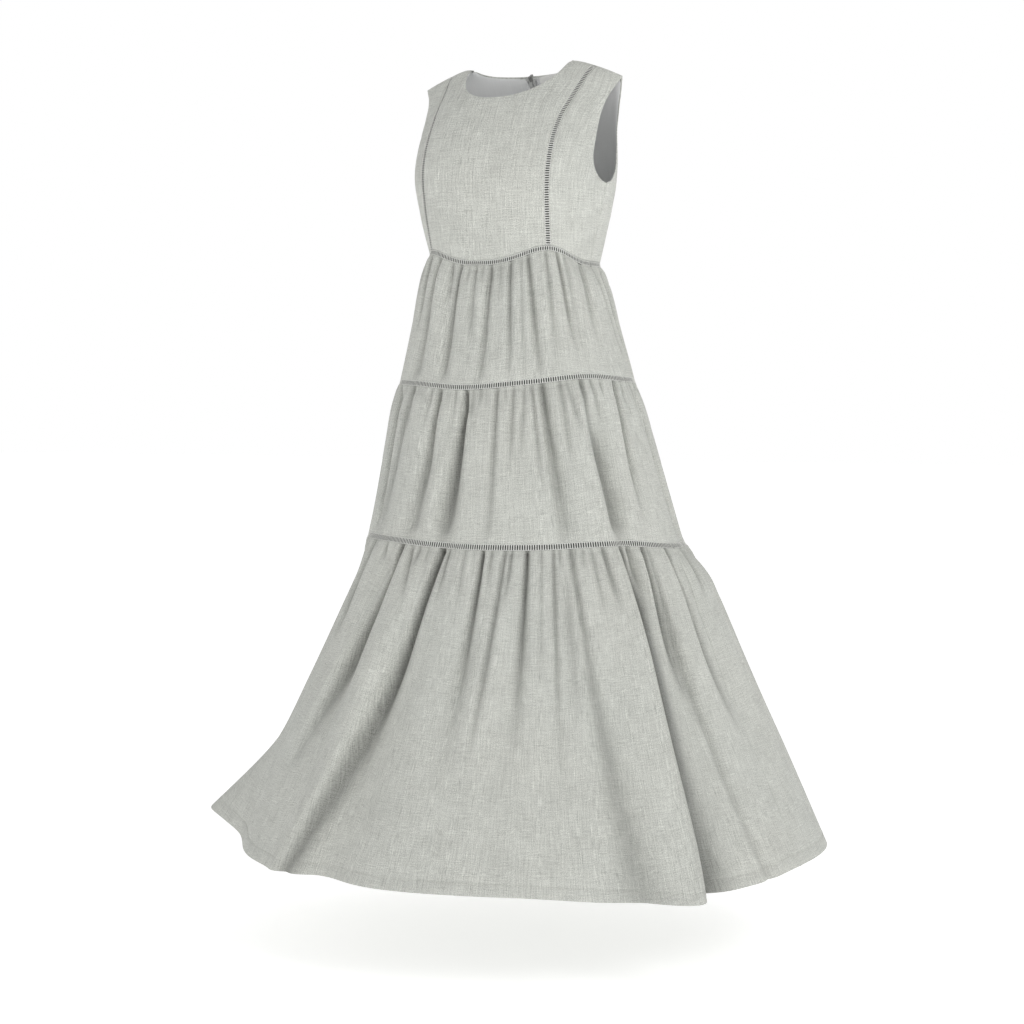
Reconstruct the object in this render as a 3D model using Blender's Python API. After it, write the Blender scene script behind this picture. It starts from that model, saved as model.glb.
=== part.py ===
"""A sleeveless dress with three gathered tiers, standing out as it does when it is worn, and hollow.

Every cloth piece is a closed wall between two grids of points. The points lie on one of two surfaces:
bodice_point takes an azimuth and a level, skirt_point an azimuth and a drop. Pieces that meet use the
same surface, so they keep an even gap at their seams, and what lies on a panel uses the panel's grid.

Metres, +Z up. The wearer would face -Y, with their left side at +X. The origin is on the body's axis,
level with the highest points of the shoulder seams. Azimuth is in degrees: 0 at the centre front, 90
at the wearer's left side seam, 180 at the centre back.
"""
import math
from collections import namedtuple

import bmesh
import bpy
import numpy as np
from mathutils import Matrix, Vector

# ---------------------------------------------------------------- driving sizes
CLOTH = 0.0015            # thickness of the outer cloth
LINING = 0.0010           # thickness of the lining, the label and the zip tape
SEAM_GAP = 0.0003         # clearance between neighbouring pieces
TRIM_WIDTH = 0.0080       # the open-work ladder trim, edge to edge
TAPE_HALF_WIDTH = 0.0105  # the zip's tape, from the centre back to its edge
LABEL_WIDE = (0.10, 0.84) # the label's reach across the lining's top cell beside the zip, as shares
LABEL_TALL = (0.38, 0.94) # and up it
LABEL_CLOTH = 0.0006      # thickness of the label, and its clearance from the lining
SLIDER_WIDTH = 0.0060     # the zip's slider, inside the neck
SLIDER_LENGTH = 0.0090
SLIDER_DEPTH = 0.0030
BRIDGE_WIDTH = 0.0042     # the slider's bridge, over the neck edge to the pull tab outside
BRIDGE_PLATE = 0.0012
PIN_RADIUS = 0.0006       # the pin that the pull tab swings on
PIN_REACH = 0.0019        # its axis, out from the cloth's outer face
PIN_DROP = 0.0012         # and down from the neck edge
KNUCKLE_RADIUS = 0.0014   # the tab's round end, about the pin
KNUCKLE_BORE = 0.0009
KNUCKLE_WIDTH = 0.0020
TAB_LENGTH = 0.0200       # the pull tab, from the pin's axis to its foot
TAB_WIDTH = 0.0050
TAB_PLATE = 0.0010
TAB_SET_IN = 0.0007       # the tab's plate, nearer the cloth than the pin's axis
TAB_NECK = 0.0042         # its narrow part, which clears the bridge's ears
JOIN_DEPTH = 0.00005      # how far the slider's parts reach into each other

SHOULDER_TOP = 0.0120     # height of the shoulder arc above the origin, on the body's axis
SHOULDER_CURVE = 1.29     # its fall, in metres for each square metre of distance from the axis
WAIST_LOW = -0.3275       # height of the waist seam at the centre front and at the sides
WAIST_PEAK = 0.0215       # rise of the waist seam at the princess seams
WAIST_PEAK_POWER = 1.3    # above 1 the peaks are narrower than the valleys between them
FRONT_NECK_RISE = 0.779   # the neck edge at the centre front, as a share of the way up
BACK_NECK_RISE = 0.915
NECK_HALF_ANGLE = 35.3    # azimuth where the neck edge meets the shoulder seam, from the centre line
NECK_ROUNDNESS = 0.50     # 0.5 is a full oval, above that its lower corners are drawn in
UNDERARM = 1 / 3          # the level where the side seam ends and the armhole starts
TAPE_ANGLE = 5.0          # azimuth of the zip tape's edge at the neck, from the centre back
ZIP_FOOT_DROP = 0.30      # the drop at which the first tier's column beside the tape is laid out

# ---------------------------------------------------------------- sections
# Rings round the bodice at even steps of level, from the waist seam (0) to the shoulder seam (1).
# rise is the share of the height at that level, centre the middle's distance behind the axis, square
# fills out the ring's corners, princess is that seam's azimuth, front_arm and back_arm the armhole's,
# from the centre front and from the centre back.
BodiceRow = namedtuple(
    "BodiceRow", "name rise half_width front back centre square princess front_arm back_arm")
BODICE = (
    BodiceRow("waist seam", 0.00, 0.1350, 0.1090, 0.0960, 0.000, 0.05, 46.0, 90.0, 90.0),
    BodiceRow("lower ribs", 0.14, 0.1460, 0.1160, 0.1010, 0.000, 0.05, 42.8, 90.0, 90.0),
    BodiceRow("upper ribs", 0.28, 0.1560, 0.1200, 0.1050, 0.000, 0.05, 40.0, 90.0, 90.0),
    BodiceRow("underarm", 0.42, 0.1640, 0.1200, 0.1080, 0.001, 0.05, 38.4, 90.0, 90.0),
    BodiceRow("chest", 0.57, 0.1685, 0.1090, 0.1030, 0.004, 0.04, 38.6, 71.5, 72.0),
    BodiceRow("upper chest", 0.70, 0.1730, 0.0960, 0.0860, 0.010, 0.01, 41.8, 70.0, 71.5),
    BodiceRow("collar bone", 0.79, 0.1770, 0.0810, 0.0640, 0.016, -0.01, 44.8, 69.0, 74.0),
    BodiceRow("yoke", 0.88, 0.1805, 0.0560, 0.0380, 0.020, -0.03, 47.2, 71.0, 79.5),
    BodiceRow("shoulder edge", 0.96, 0.1830, 0.0270, 0.0160, 0.022, -0.04, 49.2, 77.0, 82.5),
    BodiceRow("shoulder seam", 1.00, 0.1835, 0.0000, 0.0000, 0.022, -0.04, 49.9, 84.0, 84.0),
)

# The skirt's rings at its seams. The drop is 0 at the waist, 1 and 2 at the tier seams, 3 at the hem.
SkirtRow = namedtuple("SkirtRow", "name half_width front back shift_x shift_y square")
SKIRT = (
    SkirtRow("waist seam", 0.1350, 0.1090, 0.0960, 0.000, 0.000, 0.05),
    SkirtRow("first tier seam", 0.1950, 0.1650, 0.1550, 0.002, 0.001, 0.01),
    SkirtRow("second tier seam", 0.2640, 0.2280, 0.2200, 0.014, 0.006, 0.00),
    SkirtRow("hem", 0.4980, 0.4580, 0.4450, 0.001, 0.003, 0.00),
)

# Gathered cloth stands out just under the seam that it is gathered to.
Tier = namedtuple("Tier", "name puff belly")
TIERS = (
    Tier("tier_1", 0.0065, 0.000),
    Tier("tier_2", 0.0050, 0.000),
    Tier("tier_3", 0.0060, -0.008),
)
PUFF_PEAK = 0.22          # share of the tier's length where the puff is greatest

# Heights of the two tier seams and the hem round the skirt, at even steps of azimuth from -180.
SeamRow = namedtuple("SeamRow", "azimuth first second hem")
SEAMS = (
    SeamRow(-180, -0.5150, -0.7670, -1.2500),
    SeamRow(-150, -0.5140, -0.7650, -1.2440),
    SeamRow(-120, -0.5130, -0.7640, -1.2330),
    SeamRow(-90, -0.5120, -0.7620, -1.2210),
    SeamRow(-60, -0.5130, -0.7600, -1.2120),
    SeamRow(-30, -0.5165, -0.7615, -1.2500),
    SeamRow(0, -0.5230, -0.7680, -1.2610),
    SeamRow(30, -0.5155, -0.7680, -1.2640),
    SeamRow(60, -0.5060, -0.7630, -1.2800),
    SeamRow(90, -0.5100, -0.7710, -1.2560),
    SeamRow(120, -0.5120, -0.7700, -1.2500),
    SeamRow(150, -0.5140, -0.7680, -1.2520),
)

# The largest folds. Each runs from top to foot, in drops, and may cross a seam; a foot past 3 carries
# it through the hem. height is the ridge's reach outwards, or below zero the trough's depth. left and
# right are its half widths in degrees, towards smaller and greater azimuths, and bow carries its
# middle to a greater azimuth than a straight run would.
Fold = namedtuple("Fold", "azimuth foot_azimuth top foot height left right bow", defaults=(0,))
FOLDS = (
    # first tier
    Fold(-64, -60, 0.00, 1.10, -0.004, 4, 4),
    Fold(-40, -36, 0.00, 1.00, -0.004, 4, 4),
    Fold(-18, -11, 0.00, 1.30, -0.006, 4, 4),
    Fold(7, 9, 0.00, 1.10, -0.004, 4, 4),
    Fold(31, 37, 0.00, 1.20, -0.005, 4, 4),
    Fold(53, 57, 0.00, 1.00, -0.004, 4, 4),
    Fold(74, 77, 0.00, 1.00, -0.004, 4, 4),
    Fold(104, 109, 0.00, 1.20, -0.005, 4, 4),
    Fold(132, 136, 0.00, 1.10, -0.005, 4, 4),
    Fold(154, 157, 0.00, 1.00, -0.004, 4, 4),
    Fold(-152, -156, 0.00, 1.20, -0.005, 4, 4),
    Fold(-124, -128, 0.00, 1.00, -0.004, 4, 4),
    Fold(-96, -94, 0.00, 1.20, -0.005, 4, 4),
    # second tier
    Fold(-68, -72, 1.00, 2.20, -0.008, 4, 4),
    Fold(-46, -42, 1.00, 1.90, -0.006, 4, 4),
    Fold(-14, -17, 1.00, 1.90, -0.007, 4, 4),
    Fold(1, -6, 1.00, 2.40, -0.012, 4, 5),
    Fold(23, 21, 1.00, 1.70, -0.004, 4, 4),
    Fold(36, 43, 1.00, 2.30, -0.008, 4, 5),
    Fold(56, 58, 1.00, 2.30, 0.008, 6, 3),
    Fold(61, 63, 1.10, 2.30, -0.012, 4, 6),
    Fold(79, 77, 1.00, 1.90, -0.006, 4, 4),
    Fold(100, 103, 1.00, 2.20, -0.009, 4, 5),
    Fold(122, 125, 1.00, 2.00, -0.006, 4, 4),
    Fold(146, 143, 1.00, 2.20, -0.010, 5, 4),
    Fold(170, 172, 1.00, 2.00, -0.006, 4, 4),
    Fold(-165, -168, 1.00, 2.20, -0.008, 4, 4),
    Fold(-140, -136, 1.00, 2.30, -0.010, 4, 5),
    Fold(-114, -116, 1.00, 2.00, -0.006, 4, 4),
    Fold(-90, -88, 1.00, 1.90, -0.006, 4, 4),
    # third tier, from the wearer's right side round the front
    Fold(-66, -62, 2.00, 3.15, -0.045, 16, 14),
    Fold(-61, -62, 2.70, 8.50, 0.055, 11, 7),
    Fold(-43, -43, 2.50, 7.00, -0.022, 8, 8),
    Fold(-27, -23, 2.00, 2.90, -0.016, 4, 5),
    Fold(-15, -16.5, 2.05, 6.00, 0.014, 6, 4),
    Fold(-7, -12, 2.00, 6.00, -0.028, 3.5, 8),
    Fold(11, 9, 2.00, 2.90, -0.008, 4, 4),
    Fold(27, 22, 2.00, 3.00, -0.010, 4, 4),
    Fold(35, 35, 2.00, 3.00, -0.010, 3.5, 5),
    Fold(45, 50, 2.05, 6.00, -0.016, 7, 7),
    Fold(58.5, 59.5, 1.90, 6.00, 0.024, 9, 3, 4),
    Fold(65, 67, 1.90, 6.00, -0.022, 4, 8, 4),
    Fold(87, 93, 2.00, 2.80, -0.012, 4, 5),
    Fold(100, 110, 1.96, 3.40, 0.022, 18, 22),
    # third tier, from the wearer's left side round the back
    Fold(112, 120, 2.00, 3.20, -0.014, 4, 6),
    Fold(128, 138, 2.10, 6.00, 0.020, 9, 5),
    Fold(139, 148, 2.00, 6.00, -0.024, 4, 7),
    Fold(160, 163, 2.00, 2.90, -0.010, 4, 4),
    Fold(174, 178, 2.10, 6.00, 0.016, 8, 7),
    Fold(-172, -166, 2.00, 6.00, -0.020, 6, 5),
    Fold(-156, -152, 2.00, 2.90, -0.009, 4, 4),
    Fold(-140, -142, 2.10, 6.00, 0.022, 6, 8),
    Fold(-130, -130, 2.00, 6.00, -0.024, 5, 6),
    Fold(-108, -112, 2.00, 3.10, -0.012, 4, 5),
    Fold(-92, -100, 2.20, 6.00, 0.018, 9, 9),
    Fold(-84, -87, 2.00, 3.60, -0.014, 5, 5),
)
FOLD_RISE = 0.12          # share of a fold's run over which it reaches its full height
FOLD_HOLD = 0.45          # share of its run after which it fades

# ---------------------------------------------------------------- how finely the walls are cut
NECK_COLUMNS = 8          # across the front neck, between the two shoulder seams
BODICE_STEPS = (0.0, 0.5, 1.0, 1.1, 1.28, 1.5, 1.75, 2.0)  # waist 0, underarm 1, neck or shoulder 2
SIDE_STEPS = (0.0, 0.35, 0.7, 1.0)
TIER_COLUMNS = 84                                          # all round each tier
TIER_STEPS = ((0.0, 0.15, 0.5, 1.0), (0.0, 0.18, 0.5, 1.0), (0.0, 0.1, 0.28, 0.52, 0.76, 1.0))
ZIP_FOOT_ROW = 2          # the row of tier 1 where the zip ends
ROUND_SIDES = 16          # sides of the small turned shapes
AZIMUTH_STEP = 1.5        # degrees, for slopes along a ring
LEVEL_STEP = 0.03         # levels or drops, for slopes up and down
NEAR_SEAM = 0.02          # drops, from a tier's foot up to where its slope is taken
SHOULDER_TURN = 0.12      # levels below the shoulder seam where front and back take one direction

Cloth = namedtuple("Cloth", "name colour roughness metallic")
LINEN = Cloth("linen", (0.57, 0.58, 0.54, 1.0), 0.9, 0.0)
LADDER = Cloth("ladder_trim", (0.50, 0.51, 0.48, 1.0), 0.9, 0.0)
SATIN = Cloth("lining_satin", (0.36, 0.37, 0.37, 1.0), 0.6, 0.0)
TAPE = Cloth("zip_tape", (0.42, 0.43, 0.42, 1.0), 0.8, 0.0)
WOVEN_LABEL = Cloth("label_ribbon", (0.72, 0.72, 0.69, 1.0), 0.7, 0.0)
ZIP_METAL = Cloth("zip_metal", (0.30, 0.30, 0.30, 1.0), 0.35, 1.0)


def column(rows, field):
    return np.array([getattr(row, field) for row in rows], float)


def smooth(values, place):
    """The smooth curve through evenly spaced values, at a place from 0 (first) to 1 (last)."""
    ends = [2 * values[0] - values[1]], [2 * values[-1] - values[-2]]
    knots = np.concatenate((ends[0], values, ends[1]))
    along = np.clip(place, 0, 1) * (len(values) - 1)
    first = np.minimum(along.astype(int), len(values) - 2)
    t = along - first
    a, b, c, d = (knots[first + k] for k in range(4))
    return b + 0.5 * t * (c - a + t * (2 * a - 5 * b + 4 * c - d + t * (3 * (b - c) + d - a)))


def smooth_round(values, azimuth):
    """The same for values at even steps of azimuth from -180, closed into a ring."""
    wrapped = np.concatenate((values[-1:], values, values[:2]))
    place = np.mod(azimuth + 180, 360) / 360 * len(values)
    return smooth(wrapped, (place + 1) / (len(wrapped) - 1))


def soft_step(t):
    t = np.clip(t, 0, 1)
    return t * t * (3 - 2 * t)


def ring(azimuth, half_width, front, back, square):
    """x and y on a squared ellipse, and the direction straight out of it."""
    a = np.radians(azimuth)
    depth = np.where(np.cos(a) > 0, front, back)
    across = (np.sin(a) + square * np.sin(3 * a)) / (1 - square)
    along = (np.cos(a) - square * np.cos(3 * a)) / (1 - square)
    out = np.stack((across / half_width, -along / np.maximum(depth, half_width / 4)), -1)
    out /= np.linalg.norm(out, axis=-1, keepdims=True)
    return half_width * across, -depth * along, out


# ---------------------------------------------------------------- the two surfaces
def waist_height(azimuth):
    peaks = (0.5 - 0.5 * np.cos(np.radians(4 * azimuth))) ** WAIST_PEAK_POWER
    return WAIST_LOW + WAIST_PEAK * np.where(np.cos(np.radians(azimuth)) > 0, peaks, 0)


def bodice_point(azimuth, level):
    row = {field: smooth(column(BODICE, field), level) for field in BodiceRow._fields[1:7]}
    x, y, _ = ring(azimuth, row["half_width"], row["front"], row["back"], row["square"])
    shoulder = SHOULDER_TOP - SHOULDER_CURVE * x**2
    z = waist_height(azimuth) * (1 - row["rise"]) + shoulder * row["rise"]
    return np.stack((x, y + row["centre"], z), -1)


def seam_height(seam, azimuth):
    if seam == 0:
        return waist_height(azimuth)
    return smooth_round(column(SEAMS, ("first", "second", "hem")[seam - 1]), azimuth)


def fold_reach(azimuth, drop):
    """How far the folds push the cloth out of its smooth ring."""
    reach = np.zeros_like(azimuth + drop)
    for fold in FOLDS:
        run = (drop - fold.top) / (fold.foot - fold.top)
        shown = (drop - fold.top) / (min(fold.foot, 3) - fold.top)
        middle = fold.azimuth + (fold.foot_azimuth - fold.azimuth) * shown
        middle = middle + 4 * fold.bow * shown * (1 - shown)
        off = np.mod(azimuth - middle + 180, 360) - 180
        width = np.where(off < 0, fold.left, fold.right)
        strength = soft_step(run / FOLD_RISE) * (1 - soft_step((run - FOLD_HOLD) / (1 - FOLD_HOLD)))
        reach += fold.height * strength * np.exp(-((off / width) ** 2))
    return reach


def skirt_point(azimuth, drop):
    azimuth, drop = np.broadcast_arrays(azimuth, drop)
    tier = np.clip(np.floor(drop).astype(int), 0, len(TIERS) - 1)
    share = drop - tier
    upper, lower = (
        {field: column(SKIRT, field)[tier + k] for field in SkirtRow._fields[1:]} for k in (0, 1))
    row = {field: upper[field] * (1 - share) + lower[field] * share for field in upper}
    x, y, out = ring(azimuth, row["half_width"], row["front"], row["back"], row["square"])
    puff = share / PUFF_PEAK * np.exp(1 - share / PUFF_PEAK)
    belly = 4 * share * (1 - share)
    reach = column(TIERS, "puff")[tier] * puff + column(TIERS, "belly")[tier] * belly
    reach = reach + fold_reach(azimuth, drop)
    heights = np.stack([seam_height(seam, azimuth) for seam in range(4)])
    above, below = (np.take_along_axis(heights, (tier + k)[None], 0)[0] for k in (0, 1))
    z = above * (1 - share) + below * share
    x, y = x + row["shift_x"] + reach * out[..., 0], y + row["shift_y"] + reach * out[..., 1]
    return np.stack((x, y, z), -1)


def outward(surface, azimuth, level, top_level):
    """Unit vectors out of a surface, the cross product of its slopes round and up."""
    low, high = np.clip(level - LEVEL_STEP, 0, None), np.clip(level + LEVEL_STEP, None, top_level)
    round_slope = surface(azimuth + AZIMUTH_STEP, level) - surface(azimuth - AZIMUTH_STEP, level)
    up_slope = surface(azimuth, high) - surface(azimuth, low)
    if surface is skirt_point:
        up_slope = -up_slope
    normal = np.cross(round_slope, up_slope)
    return normal / np.linalg.norm(normal, axis=-1, keepdims=True)


def bodice_outward(azimuth, level):
    """Towards the shoulder seam the front's and the back's directions turn into their common one."""
    own = outward(bodice_point, azimuth, level, 1.0)
    opposite = outward(bodice_point, 180 - azimuth, level, 1.0)
    share = 0.5 * soft_step((level - 1 + SHOULDER_TURN) / SHOULDER_TURN)[..., None]
    normal = own * (1 - share) + opposite * share
    return normal / np.linalg.norm(normal, axis=-1, keepdims=True)


def skirt_outward(azimuth, drop):
    return outward(skirt_point, azimuth, drop, 3.0)


def degrees_for(surface, azimuth, level, metres):
    """The azimuth that a distance along the cloth takes up at a place."""
    step = surface(azimuth + 0.5, level) - surface(azimuth - 0.5, level)
    return metres / np.linalg.norm(step, axis=-1)


def levels_for(surface, azimuth, level, metres):
    """The level or drop that a distance down the cloth takes up at a place."""
    inside = np.clip(level, 0.01, 0.99 if surface is bodice_point else 2.99)
    step = surface(azimuth, inside + 0.01) - surface(azimuth, inside - 0.01)
    return 0.02 * metres / np.linalg.norm(step, axis=-1)


# ---------------------------------------------------------------- walls of cloth
def material(cloth):
    found = bpy.data.materials.get(cloth.name)
    if found:
        return found
    made = bpy.data.materials.new(cloth.name)
    made.use_nodes = True
    shader = made.node_tree.nodes["Principled BSDF"]
    shader.inputs["Base Color"].default_value = cloth.colour
    shader.inputs["Roughness"].default_value = cloth.roughness
    shader.inputs["Metallic"].default_value = cloth.metallic
    return made


def add_object(name, mesh_builder, cloth):
    mesh = bpy.data.meshes.new(name)
    bmesh.ops.recalc_face_normals(mesh_builder, faces=mesh_builder.faces)
    mesh_builder.to_mesh(mesh)
    mesh_builder.free()
    mesh.shade_smooth()
    mesh.set_sharp_from_angle(angle=math.radians(40))
    mesh.materials.append(material(cloth))
    piece = bpy.data.objects.new(name, mesh)
    DRESS.objects.link(piece)
    return piece


def wall(name, outer, inner, cloth):
    """A closed wall lofted between two grids of points, [row, column, xyz].

    Each quad is split from its first row and column to its next, on both faces and all the edges, so
    the twisted edges of two neighbours stay an even gap apart.
    """
    builder = bmesh.new()
    rows, columns = outer.shape[:2]
    skins = [[[builder.verts.new(point) for point in line] for line in grid] for grid in (outer, inner)]
    for skin in skins:
        for r in range(rows - 1):
            for c in range(columns - 1):
                corners = skin[r][c], skin[r][c + 1], skin[r + 1][c + 1], skin[r + 1][c]
                builder.faces.new(corners[:3])
                builder.faces.new((corners[0], corners[2], corners[3]))
    across = [((r, c), (r, c + 1)) for r in (0, rows - 1) for c in range(columns - 1)]
    down = [((r, c), (r + 1, c)) for c in (0, columns - 1) for r in range(rows - 1)]
    for start, end in across + down:
        a, b = (skins[0][r][c] for r, c in (start, end))
        c, d = (skins[1][r][c] for r, c in (end, start))
        builder.faces.new((a, b, c))
        builder.faces.new((a, c, d))
    return add_object(name, builder, cloth)


def bodice_skin(grid, depth):
    azimuth, level = grid
    return bodice_point(azimuth, level) - depth * bodice_outward(azimuth, level)


def skirt_skin(grid, depth):
    azimuth, drop = grid
    return skirt_point(azimuth, drop) - depth * skirt_outward(azimuth, drop)


def bodice_wall(name, grid, cloth, top=0.0, thickness=CLOTH):
    return wall(name, bodice_skin(grid, top), bodice_skin(grid, top + thickness), cloth)


def skirt_wall(name, grid, cloth):
    return wall(name, skirt_skin(grid, 0), skirt_skin(grid, CLOTH), cloth)


# ---------------------------------------------------------------- grids of the bodice
LINING_TOP = CLOTH + SEAM_GAP              # the lining lies this far inside the cloth's outer face
SEAM_INSET = TRIM_WIDTH / 2 + SEAM_GAP     # from a trimmed seam's line to the panel's edge


def level_of_rise(rise):
    levels = np.linspace(0, 1, 400)
    return np.interp(rise, smooth(column(BODICE, "rise"), levels), levels)


def princess_azimuth(level):
    return smooth(column(BODICE, "princess"), level)


def arm_azimuth(level, field):
    """The side seam's azimuth up to the underarm, then the armhole's: a quarter oval, then its rows."""
    rows = column(BODICE, field)
    first = round(UNDERARM * (len(BODICE) - 1)) + 1
    chest = first / (len(BODICE) - 1)
    upper = smooth(rows[first:], (level - chest) / (1 - chest))
    turn = np.clip((level - UNDERARM) / (chest - UNDERARM), 0, 1)
    quarter = 90 - (90 - rows[first]) * np.sqrt(1 - (1 - turn) ** 2)
    return np.where(level > chest, upper, quarter)


def neck_level(azimuth, centre_rise):
    """The level of the neck edge at an azimuth from the centre line, 1 beyond the neck."""
    oval = (1 - np.clip(azimuth / NECK_HALF_ANGLE, -1, 1) ** 2) ** NECK_ROUNDNESS
    return level_of_rise(1 - (1 - centre_rise) * oval)


def bodice_levels(azimuth, top_level):
    """Rows of level from the waist trim to the top edge, for each column's azimuth and top level."""
    bottom = levels_for(bodice_point, azimuth, 0 * azimuth, SEAM_INSET)
    clearance = levels_for(bodice_point, azimuth, top_level, SEAM_GAP / 2)
    top = top_level - np.where(top_level > 0.999, clearance, 0)
    steps = np.array(BODICE_STEPS)[:, None]
    lower = bottom + (UNDERARM - bottom) * np.minimum(steps, 1)
    return lower + (top - UNDERARM) * np.clip(steps - 1, 0, 1)


def front_centre_grid():
    half = math.pi / 2
    neck = np.sin(np.linspace(-half, half, NECK_COLUMNS + 1)) * NECK_HALF_ANGLE
    end = float(princess_azimuth(np.ones(1))[0])
    shoulder = np.array((end, (end + NECK_HALF_ANGLE) / 2))
    share = np.concatenate((-shoulder, neck, shoulder[::-1])) / end
    top = neck_level(share * end, FRONT_NECK_RISE)
    for _ in range(4):
        top = neck_level(share * princess_azimuth(top), FRONT_NECK_RISE)
        top[:3] = top[-3:] = 1.0
    level = bodice_levels(share * end, top)
    seam = princess_azimuth(level)
    seam = seam - degrees_for(bodice_point, seam, level, SEAM_INSET)
    return share * seam, level


def princess_trim_grid():
    level = bodice_levels(np.full(2, 45.0), np.ones(2))
    seam = princess_azimuth(level)
    return seam + np.array((-1, 1)) * degrees_for(bodice_point, seam, level, TRIM_WIDTH / 2), level


def side_clearance(azimuth, level):
    """Half a seam's gap in degrees up to the underarm, nothing along the armhole."""
    half_gap = degrees_for(bodice_point, azimuth, level, SEAM_GAP / 2)
    return np.where(level <= UNDERARM + 1e-6, half_gap, 0)


def front_side_grid():
    share = np.array(SIDE_STEPS)
    level = bodice_levels(50 + 35 * share, np.ones(len(share)))
    seam = princess_azimuth(level)
    seam = seam + degrees_for(bodice_point, seam, level, SEAM_INSET)
    edge = arm_azimuth(level, "front_arm")
    edge = edge - side_clearance(edge, level)
    return seam + (edge - seam) * share, level


def back_grid():
    """From the side to the centre back."""
    neck = np.sin(np.linspace(math.pi / 2, 0, 5))[:-2] * NECK_HALF_ANGLE
    tip = BODICE[-1].back_arm
    from_back = np.concatenate(([tip, (NECK_HALF_ANGLE + tip) / 2], neck, [TAPE_ANGLE, 0.0]))
    top = neck_level(from_back, BACK_NECK_RISE)
    top[:3] = 1.0
    level = bodice_levels(180 - from_back, top)
    middle = np.full_like(level, 180.0)
    centre = middle - degrees_for(bodice_point, middle, level, SEAM_GAP / 2)
    tape = middle - degrees_for(bodice_point, middle, level, TAPE_HALF_WIDTH)
    edge = 180 - arm_azimuth(level, "back_arm")
    edge = edge + side_clearance(edge, level)
    azimuth = tape + (edge - tape) * (from_back - TAPE_ANGLE) / (tip - TAPE_ANGLE)
    azimuth[:, -1] = centre[:, -1]
    return azimuth, level


def mirrored(grid):
    return tuple(sign * part[:, ::-1] for sign, part in zip((-1, 1), grid))


def beside(*grids):
    """Grids with the same rows, set side by side."""
    return tuple(np.concatenate(parts, 1) for parts in zip(*grids))


def edge_of(skin, grid, row):
    """One edge of a wall: its azimuths, then the points of its outer and of its inner face."""
    return (grid[0][row], skin(grid, 0)[row], skin(grid, CLOTH)[row])


def build_bodice(back):
    """Returns the lower edges of the front and of the two backs."""
    centre, trim, side = front_centre_grid(), princess_trim_grid(), front_side_grid()
    whole_front = beside(mirrored(side), mirrored(trim), centre, trim, side)
    bodice_wall("bodice_front_center", centre, LINEN)
    bodice_wall("lining_front", whole_front, SATIN, LINING_TOP, LINING)
    edges = {"front": edge_of(bodice_skin, whole_front, 0)}
    for name, turn in (("left", tuple), ("right", mirrored)):
        bodice_wall(f"trim_princess_{name}", turn(trim), LADDER)
        bodice_wall(f"bodice_front_side_{name}", turn(side), LINEN)
        bodice_wall(f"bodice_back_{name}", turn(back), LINEN)
        lining = turn([part[:, :-1] for part in back])
        bodice_wall(f"lining_back_{name}", lining, SATIN, LINING_TOP, LINING)
        edges[f"back_{name}"] = edge_of(bodice_skin, turn(back), 0)
    return edges


# ---------------------------------------------------------------- the skirt
def tier_grid(tier, azimuths):
    """Rows from a tier's upper seam to its lower one, half a seam's gap clear of its side seams."""
    steps = np.array(TIER_STEPS[tier])[:, None]
    top = tier + levels_for(skirt_point, azimuths, tier + 0 * azimuths, SEAM_INSET)
    inset = 0 if tier + 1 == len(TIERS) else SEAM_INSET
    foot = tier + 1 - levels_for(skirt_point, azimuths, tier + 1 - NEAR_SEAM + 0 * azimuths, inset)
    drop = top + (foot - top) * steps
    azimuth = azimuths + 0 * drop
    gap = degrees_for(skirt_point, azimuth, drop, SEAM_GAP / 2)
    azimuth[:, 0] += gap[:, 0]
    azimuth[:, -1] -= gap[:, -1]
    return azimuth, drop


def along(edge, azimuths):
    """The outer and inner points of an edge at other azimuths, on its straight runs."""
    return [np.stack([np.interp(azimuths, edge[0], axis) for axis in face.T], -1) for face in edge[1:]]


def strip_between(name, above, below, azimuths):
    """A band of trim that fills the space between two edges, a seam's gap clear of each."""
    skins = []
    for high, low in zip(along(above, azimuths), along(below, azimuths)):
        down = low - high
        down *= SEAM_GAP / np.linalg.norm(down, axis=-1, keepdims=True)
        skins.append(np.stack((high + down, low - down)))
    wall(name, *skins, LADDER)


def back_half(side_azimuth):
    """Azimuths between a side seam and the centre back, ascending, with a column at the tape's edge."""
    tape = degrees_for(skirt_point, np.array([180.0]), np.array([ZIP_FOOT_DROP]), TAPE_HALF_WIDTH)[0]
    sign = 1 if side_azimuth > 0 else -1
    columns = np.linspace(side_azimuth, sign * (180 - tape), TIER_COLUMNS // 4)
    columns = np.append(columns, sign * 180.0)
    return columns if sign > 0 else columns[::-1]


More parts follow.
